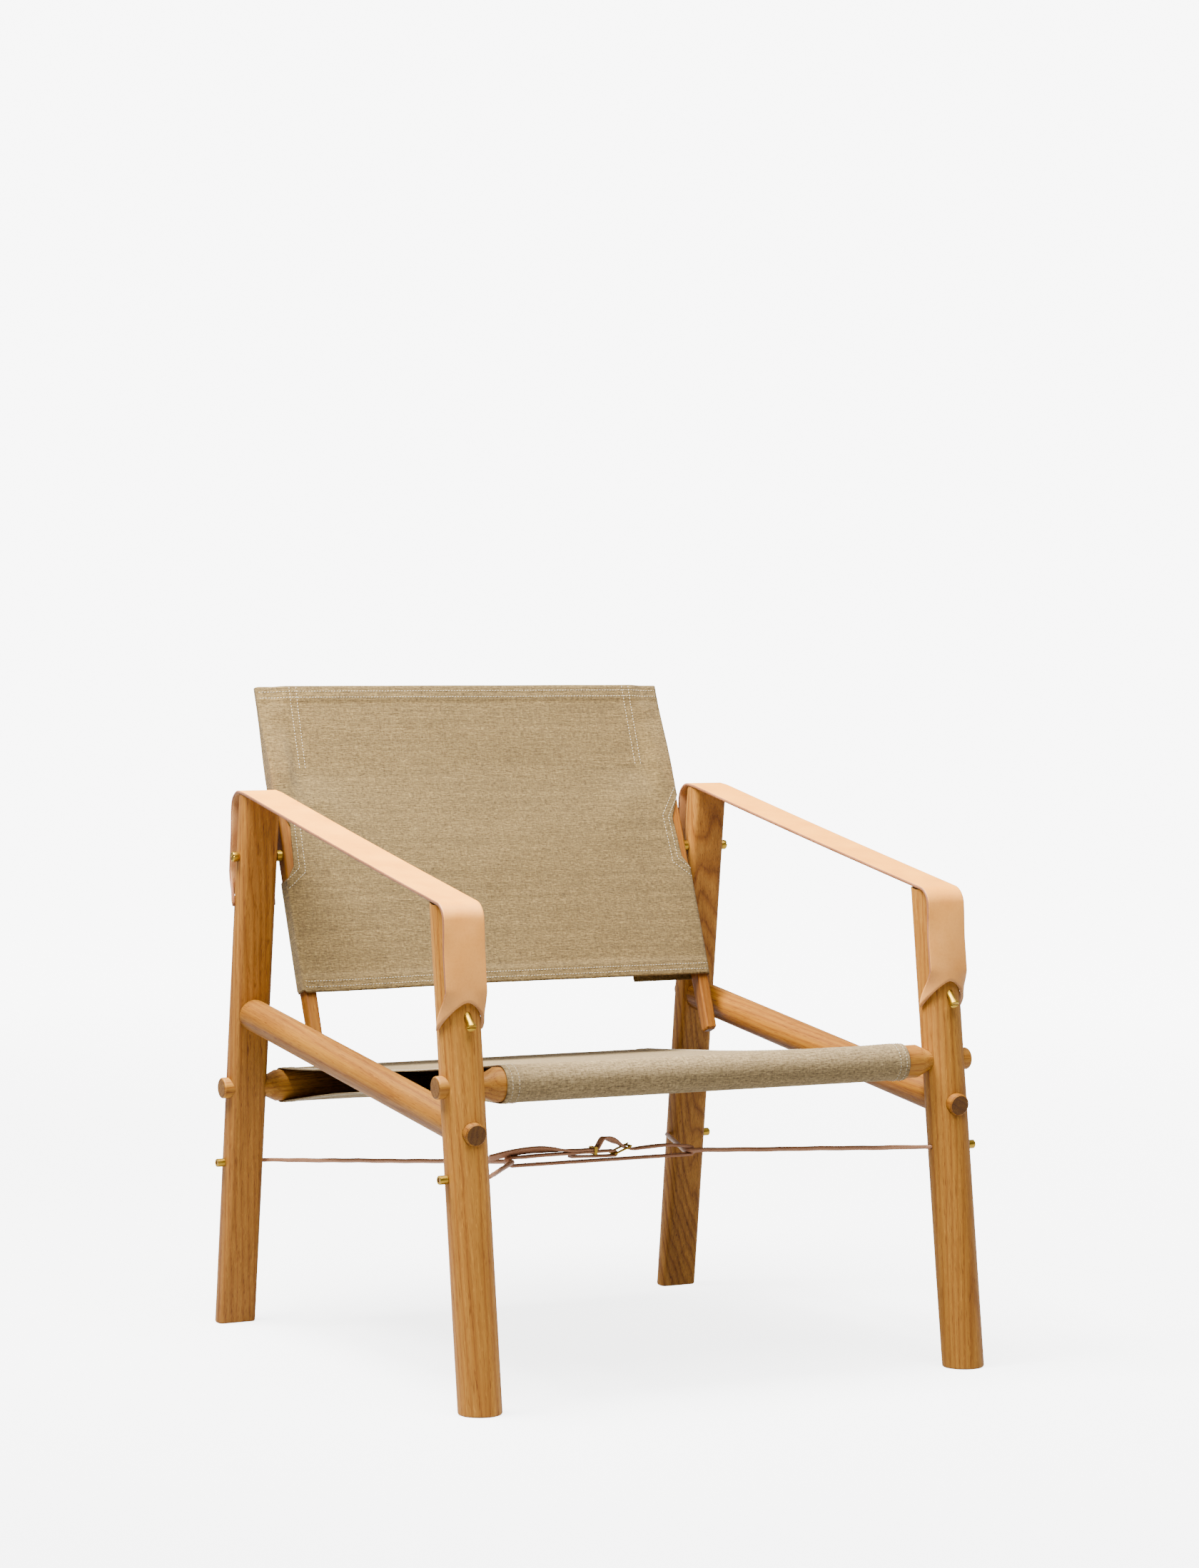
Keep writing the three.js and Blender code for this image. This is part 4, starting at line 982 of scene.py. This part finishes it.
def eased(points):
    """A smooth line through points given in millimetres"""
    knots = [Vector(p) / 1000 for p in points]
    knots = [knots[0] * 2 - knots[1]] + knots + [knots[-1] * 2 - knots[-2]]
    line = []
    for a, b, c, d in zip(knots, knots[1:], knots[2:], knots[3:]):
        count = max(3, int((c - b).length / 0.0022))
        for t in (i / count for i in range(count)):
            line.append(0.5 * (2 * b + (c - a) * t + (2 * a - 5 * b + 4 * c - d) * t ** 2
                               + (3 * b - a - 3 * c + d) * t ** 3))
    return line + [knots[-2]]


quarter = math.pi / 2
belt_line = eased([(-52, 1.4), (-40, 1), (-22, 0.2), (-10, -0.1), (-1, -0.2)])
belt_line += round_loop(bar, bar_turn, -quarter, quarter, 10)
belt_line += eased([(-1.5, 5.2), (-18, 5.2), (-38, 5.2), (-60, 5.1), (-92, 4.9), (-110, 4.4), (-119, 4.5)])
belt_line += round_loop(left_loop, loop_turn, quarter, 3 * quarter, 18)
belt_line += round_loop(right_loop, loop_turn, -quarter, quarter, 18)
belt_line += eased([(86, 6), (68, 7.4), (40, 6.3), (26, 5.5), (17, 7.6), (9, 12.4), (0, 17.3), (-8, 20.1),
                    (-12, 18.6), (-15, 14.4), (-17.5, 10.4), (-19.5, 8.5), (-22, 8), (-38, 7.9), (-52, 8.2),
                    (-66, 9.3), (-80, 10.8), (-96, 11.5), (-112, 10.8), (-130, 8.9), (-152, 5.2)])
clean = [belt_line[0]]
for point in belt_line[1:]:
    if (point - clean[-1]).length > 0.0004:
        clean.append(point)
section = []
for a, b, turn in ((1, 1, 0), (-1, 1, 1), (-1, -1, 2), (1, -1, 3)):
    for i in range(4):
        t = (turn + i / 3) * quarter
        section.append(Vector((a * (belt_wide / 2 - belt_rounding) + belt_rounding * math.cos(t),
                               b * (belt_thick / 2 - belt_rounding) + belt_rounding * math.sin(t))))
form = bmesh.new()
rings = []
for i, point in enumerate(clean):
    ahead = (clean[min(i + 1, len(clean) - 1)] - clean[max(i - 1, 0)]).normalized()
    up = Vector((-ahead.y, ahead.x))

    # The arch over the buckle and the tail lean towards the front, and the strap is a
    # little thicker away from the buckle
    arch = smooth((0.011 - point.x) / 0.009) * smooth((point.x + 0.0105) / 0.008)
    tail = smooth((-0.048 - point.x) / 0.045)
    roll = math.radians(tail_roll * tail + arch_roll * arch) * (i > len(clean) / 2)
    full = 1 + 0.2 * smooth((abs(point.x + 0.005) - 0.032) / 0.015)
    spots = [Matrix.Rotation(roll, 2) @ Vector((p.x, p.y * full)) for p in section]
    rings.append([form.verts.new((point.x + up.x * p.y, belt_y + p.x, loop_height + point.y + up.y * p.y))
                  for p in spots])
for a, b in zip(rings, rings[1:]):
    for i in range(len(section)):
        j = (i + 1) % len(section)
        form.faces.new((a[i], a[j], b[j], b[i]))
form.faces.new(rings[0][::-1])
form.faces.new(rings[-1])
bmesh.ops.recalc_face_normals(form, faces=form.faces)
belt = made_piece("belt_strap", form, belt_skin)
for spot, size in (((0.0027, belt_y, loop_height + 0.0037), (0.011, 0.003, 0.011)),
                   ((0.0128, belt_y, loop_height + 0.0102), (0.0094, 0.003, 0.011))):
    bpy.ops.object.select_all(action="DESELECT")
    bpy.ops.mesh.primitive_cube_add(size=1, location=spot)
    punch = bpy.context.object
    punch.scale = size
    bpy.ops.object.transform_apply(location=False, rotation=False, scale=True)
    pick(belt)
    hole = belt.modifiers.new("prong_hole", "BOOLEAN")
    hole.operation = "DIFFERENCE"
    hole.solver = "EXACT"
    hole.object = punch
    bpy.ops.object.modifier_apply(modifier="prong_hole")
    bpy.data.objects.remove(punch)
bpy.ops.object.shade_smooth_by_angle(angle=math.radians(40))
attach(belt, "frame")
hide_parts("belt")

low, high = cad_box
